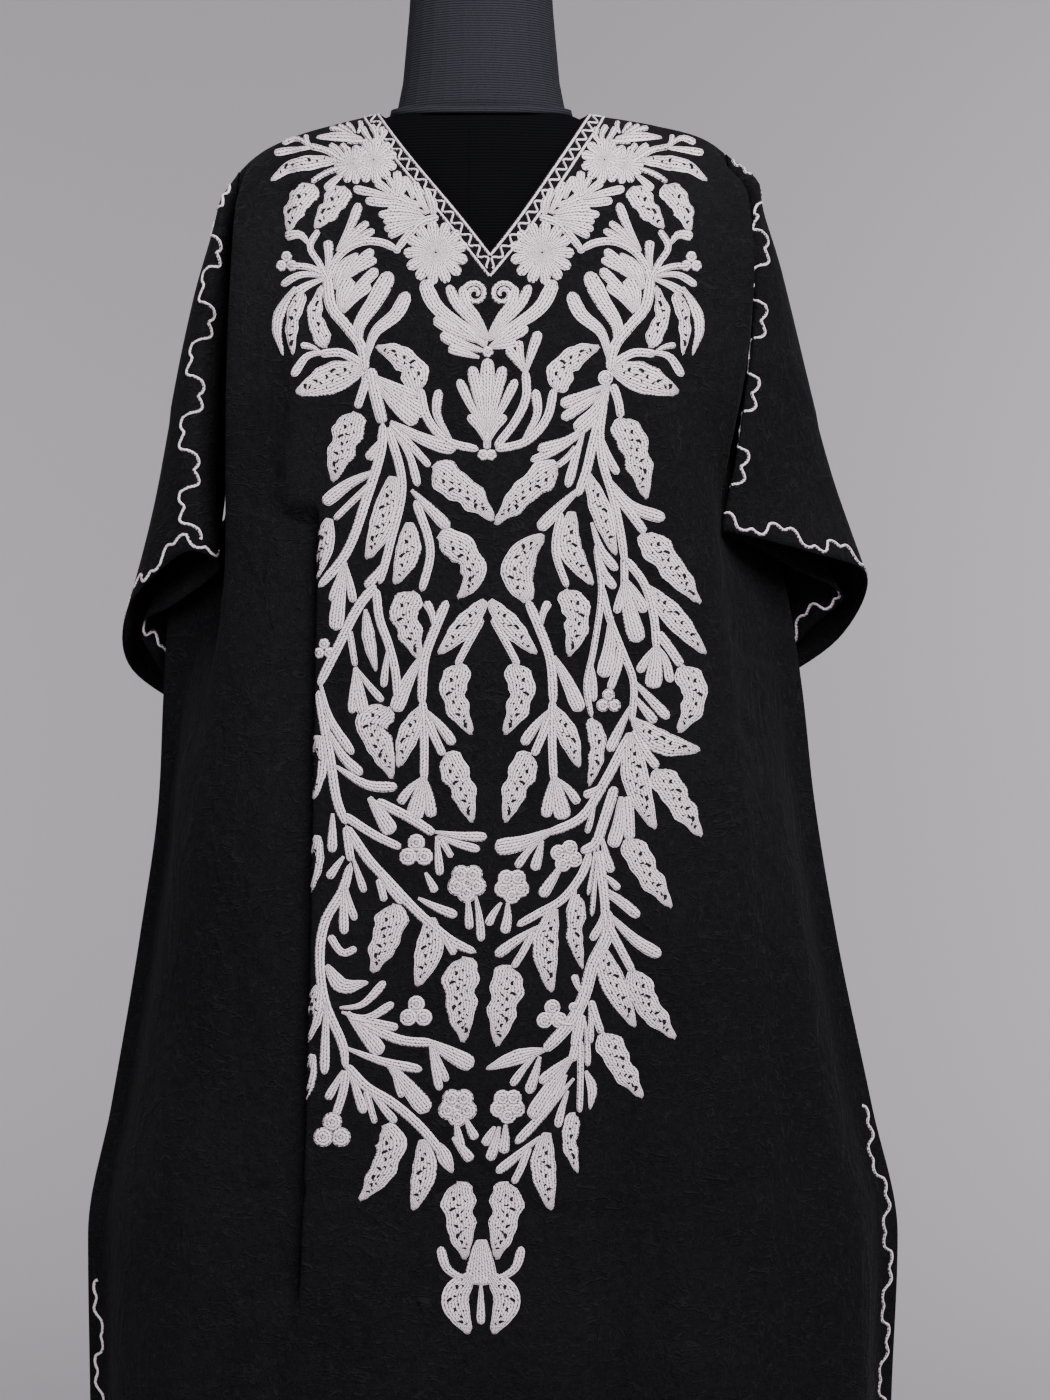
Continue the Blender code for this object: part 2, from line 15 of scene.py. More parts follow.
import bmesh
import bpy
import numpy as np
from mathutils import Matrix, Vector

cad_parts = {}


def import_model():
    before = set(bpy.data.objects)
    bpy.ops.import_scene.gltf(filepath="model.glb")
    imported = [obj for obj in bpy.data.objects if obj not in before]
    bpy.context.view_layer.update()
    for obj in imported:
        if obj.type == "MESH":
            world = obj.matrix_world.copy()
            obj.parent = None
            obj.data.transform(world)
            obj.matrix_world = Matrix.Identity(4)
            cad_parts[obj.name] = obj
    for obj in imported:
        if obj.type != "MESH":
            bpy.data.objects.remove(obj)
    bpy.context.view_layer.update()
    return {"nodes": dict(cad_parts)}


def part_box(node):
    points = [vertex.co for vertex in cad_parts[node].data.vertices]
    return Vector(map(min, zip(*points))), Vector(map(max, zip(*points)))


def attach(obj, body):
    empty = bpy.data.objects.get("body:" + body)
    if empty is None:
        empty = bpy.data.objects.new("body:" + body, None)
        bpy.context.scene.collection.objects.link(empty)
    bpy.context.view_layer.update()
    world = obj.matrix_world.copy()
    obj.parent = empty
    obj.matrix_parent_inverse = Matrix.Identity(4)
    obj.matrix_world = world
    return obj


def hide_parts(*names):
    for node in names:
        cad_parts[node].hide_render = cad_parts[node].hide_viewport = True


log = logging.getLogger("kaftan")

Array = np.ndarray
Colour = tuple[float, float, float, float]

METRES = 0.001

# The garment's driving sizes, in millimetres
NECK_POINT_HEIGHT = 1465.0
SEAM_HALF_GAP = 0.35
SEAM_LIP = 1.1
SLEEVE_SEAM_GAP = 1.0
NECK_HALF_WIDTH = 80.5
NECK_CURVE = 1.15
FRONT_NECK_DEPTH = 119.0
BACK_NECK_DEPTH = 24.0
UNDERARM_DROP = 300.0
SLIT_DROP = 770.0
HEM_DROP = 1320.0
SLIT_SPREAD = 26.0
SHOULDER_ROUND = 100.0
SHOULDER_POWER = 1.7
LEVEL_DROP = 250.0
FACE_POWER = 2.3
PLEAT_DEPTH = 20.0
PLEAT_STEP = 7.0
PLEAT_GAP = 7.0
PLEAT_SET_BACK = 12.0
SEAM_CORNER_DROP = 46.0
SHELL_THICKNESS = 1.2
WELD_DISTANCE = 0.02

# The garment's middle line, and its depth in front and behind, by drop below the neck point
MIDDLE_COLUMNS = "drop middle_x front_y back_y"
MIDDLE = (
    (0, 2, -104, 100),
    (40, 4, -100, 98),
    (105, 8, -104, 104),
    (170, 7, -119, 109),
    (250, 7, -131, 114),
    (380, 7, -135, 116),
    (530, 7, -136, 121),
    (640, 7, -138, 128),
    (770, 7, -141, 134),
    (990, 7, -147, 138),
    (1320, 7, -152, 140),
)

# Each side of the body, by drop: the front's ridge, outer fold and inner fold, the seam, and the
# back's inner fold and outer fold, outward from the form's middle and from front to back
SIDE_COLUMNS = ("drop ridge_x ridge_y fold_x fold_y inner_x inner_y seam_x seam_y "
                "back_inner_x back_inner_y back_fold_x back_fold_y")
RIGHT_SIDE = (
    (0, 145, -54, 172, -52, 181, -44, 189, -34, 181, 44, 172, 52),
    (12, 147, -57, 188, -64, 184, -47, 191, -33, 186, 46, 184, 58),
    (40, 150, -64, 204, -74, 189, -51, 196, -31, 190, 48, 196, 64),
    (100, 156, -84, 207, -80, 188, -56, 200, -28, 190, 52, 200, 71),
    (170, 160, -99, 204, -84, 186, -58, 200, -25, 188, 53, 198, 78),
    (225, 161, -106, 197, -80, 185, -56, 202, -20, 187, 52, 194, 80),
    (250, 161, -107, 192, -74, 186, -50, 203, -14, 186, 48, 192, 80),
    (300, 166, -108, 183, -66, 193, -42, 206, 0, 190, 34, 190, 80),
    (312, 168, -108, 184, -66, 195, -41, 206, -3, 190, 30, 190, 80),
    (330, 170, -108, 185, -68, 198, -40, 219, -8, 192, 27, 191, 80),
    (350, 173, -108, 187, -71, 204, -40, 232, -10, 196, 26, 192, 80),
    (380, 176, -109, 190, -75, 208, -45, 239, -10, 199, 28, 194, 80),
    (450, 184, -109, 199, -81, 217, -50, 250, -5, 203, 34, 197, 82),
    (530, 191, -110, 208, -86, 228, -54, 259, 0, 232, 46, 212, 86),
    (640, 196, -113, 216, -90, 245, -56, 277, 0, 253, 50, 225, 92),
    (770, 202, -118, 228, -95, 267, -56, 304, 0, 275, 48, 240, 94),
    (870, 206, -122, 238, -98, 288, -58, 324, 0, 292, 48, 250, 96),
    (990, 210, -126, 242, -100, 290, -60, 319, 0, 290, 50, 252, 100),
    (1320, 212, -132, 246, -104, 286, -62, 308, 0, 282, 56, 250, 106),
)
LEFT_SIDE = (
    (0, 145, -54, 168, -52, 179, -44, 187, -34, 179, 44, 170, 52),
    (12, 146, -57, 182, -64, 178, -47, 188, -33, 184, 46, 182, 58),
    (40, 147, -64, 187, -76, 172, -51, 187, -31, 188, 48, 192, 64),
    (100, 148, -82, 188, -84, 167, -56, 185, -28, 186, 52, 194, 71),
    (170, 149, -99, 190, -88, 166, -58, 186, -25, 184, 53, 194, 78),
    (250, 151, -108, 191, -92, 167, -60, 192, -14, 183, 48, 190, 80),
    (300, 152, -110, 191, -93, 170, -58, 199, 0, 188, 34, 188, 80),
    (312, 152, -110, 191, -93, 172, -57, 199, -3, 188, 30, 188, 80),
    (330, 153, -110, 191, -93, 176, -56, 216, -8, 190, 27, 189, 80),
    (350, 154, -110, 191, -93, 181, -55, 232, -10, 194, 26, 190, 80),
    (380, 156, -110, 193, -92, 190, -56, 242, -10, 198, 28, 192, 80),
    (450, 160, -111, 200, -90, 212, -56, 247, -5, 204, 34, 197, 82),
    (530, 166, -112, 208, -89, 226, -56, 251, 0, 228, 46, 212, 86),
    (640, 172, -115, 216, -91, 240, -57, 266, 0, 246, 50, 225, 92),
    (770, 180, -119, 226, -95, 258, -57, 288, 0, 264, 48, 238, 94),
    (870, 186, -123, 234, -98, 272, -58, 306, 0, 276, 48, 246, 96),
    (990, 188, -127, 236, -100, 272, -60, 304, 0, 274, 50, 246, 100),
    (1320, 190, -132, 238, -104, 270, -62, 296, 0, 268, 56, 244, 106),
)

# How far the shoulder ridge has dropped, by distance from the form's middle
SHOULDER_COLUMNS = "out drop"
RIGHT_SHOULDER = ((80, 0), (114, 5), (141, 10), (165, 16), (178, 22), (190, 31))
LEFT_SHOULDER = ((80, 0), (110, 7), (139, 15), (165, 26), (178, 35), (190, 47))

# The front's upright pleat at each side, by drop: where its edge lies, how much of it is drawn, and
# how deep the soft valley beside it is
PLEAT_COLUMNS = "drop edge_x drawn valley"
RIGHT_PLEAT = ((0, 100, 0, 0), (600, 92, 0, 0), (720, 86, 0, 6), (900, 80, 0, 13), (1320, 84, 0, 12))
LEFT_PLEAT = ((0, 122, 0, 0), (300, 118, 0, 0), (325, 119, 0.55, 0), (350, 120, 0.95, 0), (400, 121, 1, 0),
              (700, 126, 1, 0), (860, 131, 0.7, 0), (940, 134, 0, 6), (1320, 136, 0, 8))

# How fast a soft fold grows to its full lift below its start
FOLD_ONSET = 2.5

# Soft folds that fan out towards the hem: each one's X at the top and at the hem, the drop at which it
# starts, its lift and its width
FRONT_FOLDS = (
    (-215, -262, 620, 9, 26),
    (-170, -205, 560, -8, 24),
    (-70, -80, 800, 7, 30),
    (20, 26, 900, -6, 34),
    (150, 172, 700, 10, 26),
    (232, 262, 640, -9, 22),
)
BACK_FOLDS = (
    (-190, -225, 480, 10, 26),
    (-110, -130, 420, -11, 26),
    (-35, -45, 380, 10, 30),
    (45, 60, 400, -10, 28),
    (115, 140, 460, 11, 26),
    (195, 230, 520, -9, 24),
)

# Each sleeve's upright lines, in order round the tube from the front: where the line lies at each of
# three levels on the way down and at the cuff, and the cuff's height
SLEEVE_COLUMNS = "high_x high_y upper_x upper_y lower_x lower_y cuff_x cuff_y cuff_z"
RIGHT_SLEEVE = (
    (203, -27, 203, -44, 226, 6, 257, 18, 1066),
    (204, -32, 203, -50, 236, -6, 281, -1, 1090),
    (207, -36, 204, -55, 222, -30, 240, -34, 1112),
    (211, -35, 207, -59, 204, -54, 197, -66, 1133),
    (214, -28, 212, -60, 198, -76, 183, -83, 1138),
    (212, -12, 228, -42, 243, -48, 255, -56, 1122),
    (210, 4, 233, -8, 271, -12, 298, -16, 1107),
    (205, 20, 218, 32, 255, 40, 281, 42, 1058),
)
LEFT_SLEEVE = (
    (192, -28, 190, -43, 214, 4, 248, 15, 1030),
    (193, -31, 191, -49, 224, -10, 264, -10, 1067),
    (196, -33, 194, -54, 212, -32, 235, -36, 1084),
    (199, -31, 199, -57, 203, -55, 199, -60, 1112),
    (201, -25, 206, -58, 222, -68, 219, -76, 1123),
    (201, -12, 217, -41, 240, -50, 245, -60, 1108),
    (200, 4, 221, -10, 251, -20, 271, -32, 1081),
    (195, 20, 211, 30, 246, 32, 275, 32, 1034),
)
SLEEVE_LEVELS = (("high", 0.1), ("upper", 0.3), ("lower", 0.75), ("cuff", 1.0))
RIGHT_UNDERSEAM_END = (219.0, 50.0, 1016.0)
LEFT_UNDERSEAM_END = (222.0, 48.0, 996.0)
UNDERSEAM_START_SHIFT = (3.5, 8.0, -14.0)

# The photograph's view: the camera, and one chart unit at the depth of the plane that it was set to
CAMERA_X = 34.0
CAMERA_Y = -2830.0
CAMERA_HEIGHT = 1010.0
CHART_MIDDLE_COLUMN = 525.0
CHART_MIDDLE_ROW = 700.0
CHART_UNIT = 0.77
CHART_DEPTH = 2800.0

# In chart units: the garment's middle line, the height at which the left pleat starts, and how far out
# the pleat's edge lies, past which the stitching turns into the fold
GARMENT_MIDDLE_COLUMN = 488.4
PLEAT_TOP_ROW = 492.0
PLEAT_REACH = 158.0

# The embroidery's own middle line, by how far down the view
DESIGN_AXIS = ((115, 489), (284, 489), (400, 487), (700, 487.5), (790, 489), (1000, 486.5), (1110, 483.5),
               (1215, 482.5), (1250, 481), (1335, 481))

# A grid is read up to just before its last line, this far from its count of lines
LAST_CELL = 1.001


def columns(names: str, rows: Sequence[Sequence[float]]) -> dict[str, Array]:
    """Return a table's columns as arrays, by name.

    Args:
        names: The column names, with spaces between them.
        rows: The table's rows.

    Returns:
        One array for each name.
    """
    values = np.array(rows, dtype=float)
    return {name: values[:, place] for place, name in enumerate(names.split())}


def even_slopes(places: Array, values: Array) -> Array:
    """Return slopes that keep a curve through points from swinging past them.

    Args:
        places: Where the points lie along the curve.
        values: The points' values, one row for each.

    Returns:
        A slope for each point.
    """
    rates = (np.diff(values, axis=0).T / np.diff(places)).T
    slopes = np.zeros_like(values)
    slopes[0] = rates[0]
    slopes[-1] = rates[-1]
    same_way = rates[:-1] * rates[1:] > 0
    total = np.where(same_way, rates[:-1] + rates[1:], 1.0)
    slopes[1:-1] = np.where(same_way, 2 * rates[:-1] * rates[1:] / total, 0.0)
    return slopes


def hermite(share: Array, ends: Sequence[Array], slopes: Sequence[Array], width: Array) -> Array:
    """Return points at shares of the smooth curve between two ends with given slopes.

    Args:
        share: How far along the curve, from 0 to 1.
        ends: The two ends.
        slopes: The slopes at the two ends.
        width: The length of the span.

    Returns:
        The points.
    """
    start_weight = 2 * share**3 - 3 * share**2 + 1
    start_slope_weight = share**3 - 2 * share**2 + share
    end_weight = 3 * share**2 - 2 * share**3
    end_slope_weight = share**3 - share**2
    return (start_weight * ends[0] + start_slope_weight * width * slopes[0]
            + end_weight * ends[1] + end_slope_weight * width * slopes[1])


def smooth(at: Array | float, places: Sequence[float], values: Sequence[float]) -> Array:
    """Return a smooth curve through points, read at one or more places.

    Args:
        at: Where to read the curve.
        places: Where the points lie.
        values: The points' values.

    Returns:
        The values there.
    """
    places = np.asarray(places, dtype=float)
    values = np.asarray(values, dtype=float)
    at = np.clip(np.asarray(at, dtype=float), places[0], places[-1])
    span = np.clip(np.searchsorted(places, at, side="right") - 1, 0, len(places) - 2)
    width = places[span + 1] - places[span]
    slopes = even_slopes(places, values)
    share = (at - places[span]) / width
    if values.ndim > 1:
        share = np.asarray(share)[..., None]
        width = np.asarray(width)[..., None]
    return hermite(share, (values[span], values[span + 1]), (slopes[span], slopes[span + 1]), width)


def ease(share: Array | float) -> Array:
    """Return a smooth step from 0 to 1."""
    share = np.clip(share, 0.0, 1.0)
    return share * share * (3 - 2 * share)


def curve_through(points: Sequence[Sequence[float]], steps: Sequence[int],
                  end_way: Sequence[float] | None = None) -> Array:
    """Return points along a smooth curve through the given points.

    Args:
        points: The points that the curve passes through.
        steps: How many steps each span has.
        end_way: The direction in which the curve arrives at its last point.

    Returns:
        The curve's points, one row for each.
    """
    points = np.asarray(points, dtype=float)
    between = np.diff(points, axis=0)
    widths = np.sqrt(np.maximum(np.linalg.norm(between, axis=1), 1e-6))[:, None]
    rates = between / widths
    slopes = np.empty_like(points)
    slopes[0] = rates[0]
    slopes[-1] = rates[-1]
    across = (points[2:] - points[:-2]) / (widths[1:] + widths[:-1])
    slopes[1:-1] = rates[:-1] - across + rates[1:]
    if end_way is not None:
        slopes[-1] = np.asarray(end_way) * np.linalg.norm(rates[-1])
    parts = []
    for span, count in enumerate(steps):
        share = (np.arange(count) / count)[:, None]
        parts.append(hermite(share, points[span:span + 2], slopes[span:span + 2], widths[span]))
    parts.append(points[-1:])
    return np.concatenate(parts)


def project(points: Array) -> Array:
    """Return where points show in the photograph's view, in chart units."""
    away = points[..., 1] - CAMERA_Y
    reach = CHART_DEPTH / CHART_UNIT / away
    across = CHART_MIDDLE_COLUMN + reach * (points[..., 0] - CAMERA_X)
    down = CHART_MIDDLE_ROW - reach * (points[..., 2] - CAMERA_HEIGHT)
    return np.stack([across, down], axis=-1)


def bilinear(values: Array, row: Array, column: Array) -> Array:
    """Return values between the four grid points around each place.

    Args:
        values: The grid's values.
        row: Where the places lie among the rows, as numbers with parts.
        column: Where they lie among the columns.

    Returns:
        The values there.
    """
    row = np.clip(row, 0, values.shape[0] - LAST_CELL)
    column = np.clip(column, 0, values.shape[1] - LAST_CELL)
    top, left = row.astype(int), column.astype(int)
    down, across = row - top, column - left
    if values.ndim > 2:
        down, across = down[..., None], across[..., None]
    upper = values[top, left] * (1 - across) + values[top, left + 1] * across
    lower = values[top + 1, left] * (1 - across) + values[top + 1, left + 1] * across
    return upper * (1 - down) + lower * down


def lengths_along(points: Array, axis: int = 0) -> Array:
    """Return the length along rows of points, from each row's first point.

    Args:
        points: The points, with their coordinates last.
        axis: The axis along which the length grows.

    Returns:
        The lengths, of the same shape without the coordinates.
    """
    steps = np.linalg.norm(np.diff(points, axis=axis), axis=-1)
    start = np.zeros_like(np.take(steps, [0], axis=axis))
    return np.concatenate([start, np.cumsum(steps, axis=axis)], axis=axis)


def places_at(lengths: Array, line: Array, reach: Array) -> Array:
    """Return where along a grid's lines given lengths are reached.

    Args:
        lengths: The lengths along each line, one line to a row.
        line: Which line each place is on, as numbers with parts.
        reach: The length that each place has to reach.

    Returns:
        The places along their lines, as numbers with parts.
    """
    upper = np.clip(line.astype(int), 0, len(lengths) - 2)
    part = (line - upper)[:, None]
    spans = lengths[upper] * (1 - part) + lengths[upper + 1] * part
    cells = np.arange(lengths.shape[1])
    return np.array([np.interp(length, span, cells) for length, span in zip(reach, spans)])


class Value:
    """A node's output that numbers and other outputs can be reckoned with."""

    def __init__(self, tree: "Nodes", socket: bpy.types.NodeSocket) -> None:
        """Wrap an output socket of a node tree."""
        self.tree = tree
        self.socket = socket

    def _with(self, operation: str, *others: "Value | float") -> "Value":
        """Return this value put through a Math node with others."""
        return self.tree.maths(operation, self, *others)

    def __add__(self, other: "Value | float") -> "Value":
        """Return the sum."""
        return self._with("ADD", other)

    def __sub__(self, other: "Value | float") -> "Value":
        """Return the difference."""
        return self._with("SUBTRACT", other)

    def __rsub__(self, other: float) -> "Value":
        """Return a number less this value."""
        return self.tree.maths("SUBTRACT", other, self)

    def __mul__(self, other: "Value | float") -> "Value":
        """Return the product."""
        return self._with("MULTIPLY", other)

    def sine(self) -> "Value":
        """Return the sine, in radians."""
        return self._with("SINE")

    def size(self) -> "Value":
        """Return the value without its sign."""
        return self._with("ABSOLUTE")

    def between(self, low: float, high: float) -> "Value":
        """Return 0 below a low value, 1 above a high one and a smooth step between."""
        settings = {"interpolation_type": "SMOOTHSTEP"}
        return self.tree.node("ShaderNodeMapRange", settings, {0: self, 1: low, 2: high})


class Nodes:
    """The node tree of one material, around its Principled shader."""

    def __init__(self, name: str, constants: dict[str, object]) -> None:
        """Make a material whose shader has the given constant values."""
        self.material = bpy.data.materials.new(name)
        self.material.use_nodes = True
        self.tree = self.material.node_tree
        self.shader = self.tree.nodes["Principled BSDF"]
        for socket, value in constants.items():
            self.shader.inputs[socket].default_value = value

    def node(self, kind: str, settings: dict[str, object], sockets: dict[int | str, object],
             output: int | str = 0) -> Value:
        """Add a node.

        Args:
            kind: The node's type.
            settings: Its own settings, set first.
            sockets: The values or links of its inputs, by place or name.
            output: Which output to return.

        Returns:
            That output.
        """
        made = self.tree.nodes.new(kind)
        for name, value in settings.items():
            setattr(made, name, value)
        for name, value in sockets.items():
            if isinstance(value, Value):
                self.tree.links.new(value.socket, made.inputs[name])
            else:
                made.inputs[name].default_value = value
        return Value(self, made.outputs[output])

    def maths(self, operation: str, *values: Value | float) -> Value:
        """Return values put through a Math node."""
        return self.node("ShaderNodeMath", {"operation": operation}, dict(enumerate(values)))

    def place(self, output: str = "Object") -> Value:
        """Return the place on the surface, in the object's own frame or its UV map."""
        return self.node("ShaderNodeTexCoord", {}, {}, output)

    def stretched(self, vector: Value, scale: tuple[float, float, float]) -> Value:
        """Return a place scaled along each axis."""
        return self.node("ShaderNodeMapping", {}, {"Vector": vector, "Scale": scale})

    def noise(self, vector: Value, scale: float, detail: float = 3.0, distortion: float = 0.0) -> Value:
        """Return a noise value at a place."""
        sockets = {"Vector": vector, "Scale": scale, "Detail": detail, "Distortion": distortion}
        return self.node("ShaderNodeTexNoise", {}, sockets)

    def mix(self, share: Value, low: Colour, high: Colour) -> Value:
        """Return a colour between two, by a share."""
        return self.node("ShaderNodeMix", {"data_type": "RGBA"}, {0: share, 6: low, 7: high}, 2)

    def feed(self, socket: str, value: Value) -> None:
        """Link a value to one of the shader's inputs."""
        self.tree.links.new(value.socket, self.shader.inputs[socket])

    def bump(self, height: Value, distance: float, strength: float) -> None:
        """Feed the shader's normal with a height in units of a distance in metres."""
        sockets = {"Strength": strength, "Distance": distance, "Height": height}
        self.feed("Normal", self.node("ShaderNodeBump", {}, sockets))


@dataclass(frozen=True)
class CrinkledCotton:
    """Crushed black cotton: fine wandering creases with painted glints along them, a plain weave and a faint
    dusty sheen.
    """

    dark: Colour = (0.0022, 0.0020, 0.0024, 1.0)
    light: Colour = (0.0125, 0.0115, 0.0132, 1.0)
    crease_height: float = 0.0015

    def crease(self, nodes: Nodes, place: Value, scale: float, sharp: float) -> Value:
        """Return 1 along wandering lines and 0 away from them."""
        folded = (nodes.noise(place, scale, 2.0, 0.7) * 2 - 1).size()
        return 1 - folded.between(0.0, sharp)

    def material(self) -> bpy.types.Material:
        """Return the cloth's material."""
        constants = {"Roughness": 0.95, "Specular IOR Level": 0.09, "Sheen Weight": 0.02,
                     "Sheen Roughness": 0.4, "Sheen Tint": (0.8, 0.8, 0.85, 1.0)}
        nodes = Nodes("black_crinkled_cotton", constants)
        place = nodes.place()
        upright = nodes.stretched(place, (1.0, 1.0, 0.45))
        level = nodes.stretched(place, (0.5, 0.5, 1.2))
        where = nodes.noise(place, 24.0, 2.0).between(0.42, 0.62)
        glinting_creases = self.crease(nodes, upright, 150.0, 0.055) * where
        glinting_wrinkles = self.crease(nodes, level, 95.0, 0.07) * (1 - where)
        broad = self.crease(nodes, upright, 34.0, 0.24)
        crushed = nodes.noise(place, 170.0, 4.0, 1.0)
        grain = nodes.noise(place, 1100.0, 2.0)
        patches = nodes.noise(place, 6.0, 2.0)
        # The colour is lighter along the crease lines: painted glints where the creases catch the light, over
        # random tone from grain, patches and crushing.
        shade = glinting_creases * 0.34 + glinting_wrinkles * 0.24 + grain * 0.8 + patches * 0.25 + crushed * 0.4
        nodes.feed("Base Color", nodes.mix(shade.between(0.38, 1.2), self.dark, self.light))
        relief = glinting_creases * 0.6 + glinting_wrinkles * 0.55 + broad * 0.5 + crushed * 0.8 + grain * 0.16
        nodes.bump(relief, self.crease_height, 1.0)
        return nodes.material


@dataclass(frozen=True)
class ChainStitch:
    """Rows of cream cotton chain stitch that follow each motif's length, read from its UV map."""

    thread: Colour = (0.99, 0.845, 0.905, 1.0)
    shaded: Colour = (0.38, 0.325, 0.35, 1.0)
    speck: Colour = (0.035, 0.03, 0.034, 1.0)
    row_pitch: float = 2.6
    stitch_length: float = 2.9

    def material(self) -> bpy.types.Material:
        """Return the thread's material. The UV map holds millimetres along and across the rows."""
        constants = {"Roughness": 0.8, "Specular IOR Level": 0.2, "Sheen Weight": 0.08}
        nodes = Nodes("cream_chain_stitch", constants)
        uv = nodes.place("UV")
        along = nodes.node("ShaderNodeSeparateXYZ", {}, {0: uv}, 0)
        across = nodes.node("ShaderNodeSeparateXYZ", {}, {0: uv}, 1)
        wander = nodes.noise(uv, 0.3, 2.0)
        fluff = nodes.noise(uv, 1.3, 3.0)
        patches = nodes.noise(uv, 0.09, 2.0)
        row = ((across + wander * 1.8) * (np.pi / self.row_pitch)).sine().size()
        link = ((along + across * 0.8 + wander * 6.0) * (np.pi / self.stitch_length)).sine().size()
        hollow = (2 - row - link) * 0.5
        light = row * 0.6 + link * 0.25 + fluff * 0.35 + patches * 0.2
        body = nodes.mix(light.between(0.4, 1.02), self.shaded, self.thread)
        mask = (hollow + fluff * 0.35).between(0.7, 0.92)
        nodes.feed("Base Color", nodes.mix(mask, body, self.speck))
        nodes.bump(row * 0.5 + link * 0.4 + fluff * 0.3, 0.0008, 1.0)
        return nodes.material


@dataclass(frozen=True)
class PlainFinish:
    """An even, slightly grainy finish, with fine level ribs where it is knitted."""

    name: str
    dark: Colour
    light: Colour
    roughness: float
    metallic: float = 0.0
    grain: float = 700.0
    bump_height: float = 0.0002
    rib_pitch: float = 0.0
    specular: float = 0.2

    def material(self) -> bpy.types.Material:
        """Return the finish's material."""
        constants = {"Roughness": self.roughness, "Metallic": self.metallic,
                     "Specular IOR Level": self.specular}
        nodes = Nodes(self.name, constants)
        place = nodes.place()
        height = nodes.noise(place, self.grain, 2.0)
        if self.rib_pitch:
            level = nodes.node("ShaderNodeSeparateXYZ", {}, {0: place}, 2)
            wander = nodes.noise(place, 30.0, 2.0)
            ribs = ((level + wander * 0.0016) * (np.pi / self.rib_pitch)).sine().size()
            height = ribs * 0.6 + height * 0.4
        nodes.feed("Base Color", nodes.mix(height.between(0.3, 0.75), self.dark, self.light))
        nodes.bump(height, self.bump_height, 0.8)
        return nodes.material


NECK_JERSEY = PlainFinish("grey_black_jersey", (0.008, 0.008, 0.0105, 1.0), (0.029, 0.029, 0.037, 1.0), 0.9,
                          bump_height=0.00025, rib_pitch=0.0019, specular=0.12)
TORSO_JERSEY = PlainFinish("black_jersey", (0.0016, 0.0016, 0.0019, 1.0), (0.0036, 0.0036, 0.0043, 1.0), 0.95,
                           rib_pitch=0.0024, specular=0.04)
EYELET = PlainFinish("cloth_in_eyelets", (0.006, 0.006, 0.007, 1.0), (0.014, 0.012, 0.014, 1.0), 0.95)
STEEL = PlainFinish("dark_satin_steel", (0.045, 0.045, 0.048, 1.0), (0.06, 0.06, 0.063, 1.0), 0.38,
                    metallic=1.0, bump_height=0.00003)


class Face(Enum):
    """The two panels of the body."""

    FRONT = "front"
    BACK = "back"

    @property
    def towards(self) -> int:
        """Return the sign of the panel's outward depth."""
        return -1 if self is Face.FRONT else 1

    @property
    def neck_depth(self) -> float:
        """Return how deep the neck is cut into the panel."""
        return FRONT_NECK_DEPTH if self is Face.FRONT else BACK_NECK_DEPTH

    @property
    def neck_power(self) -> float:
        """Return how far the neck's edge bends: 1 is straight."""
        return NECK_CURVE if self is Face.FRONT else 1.0


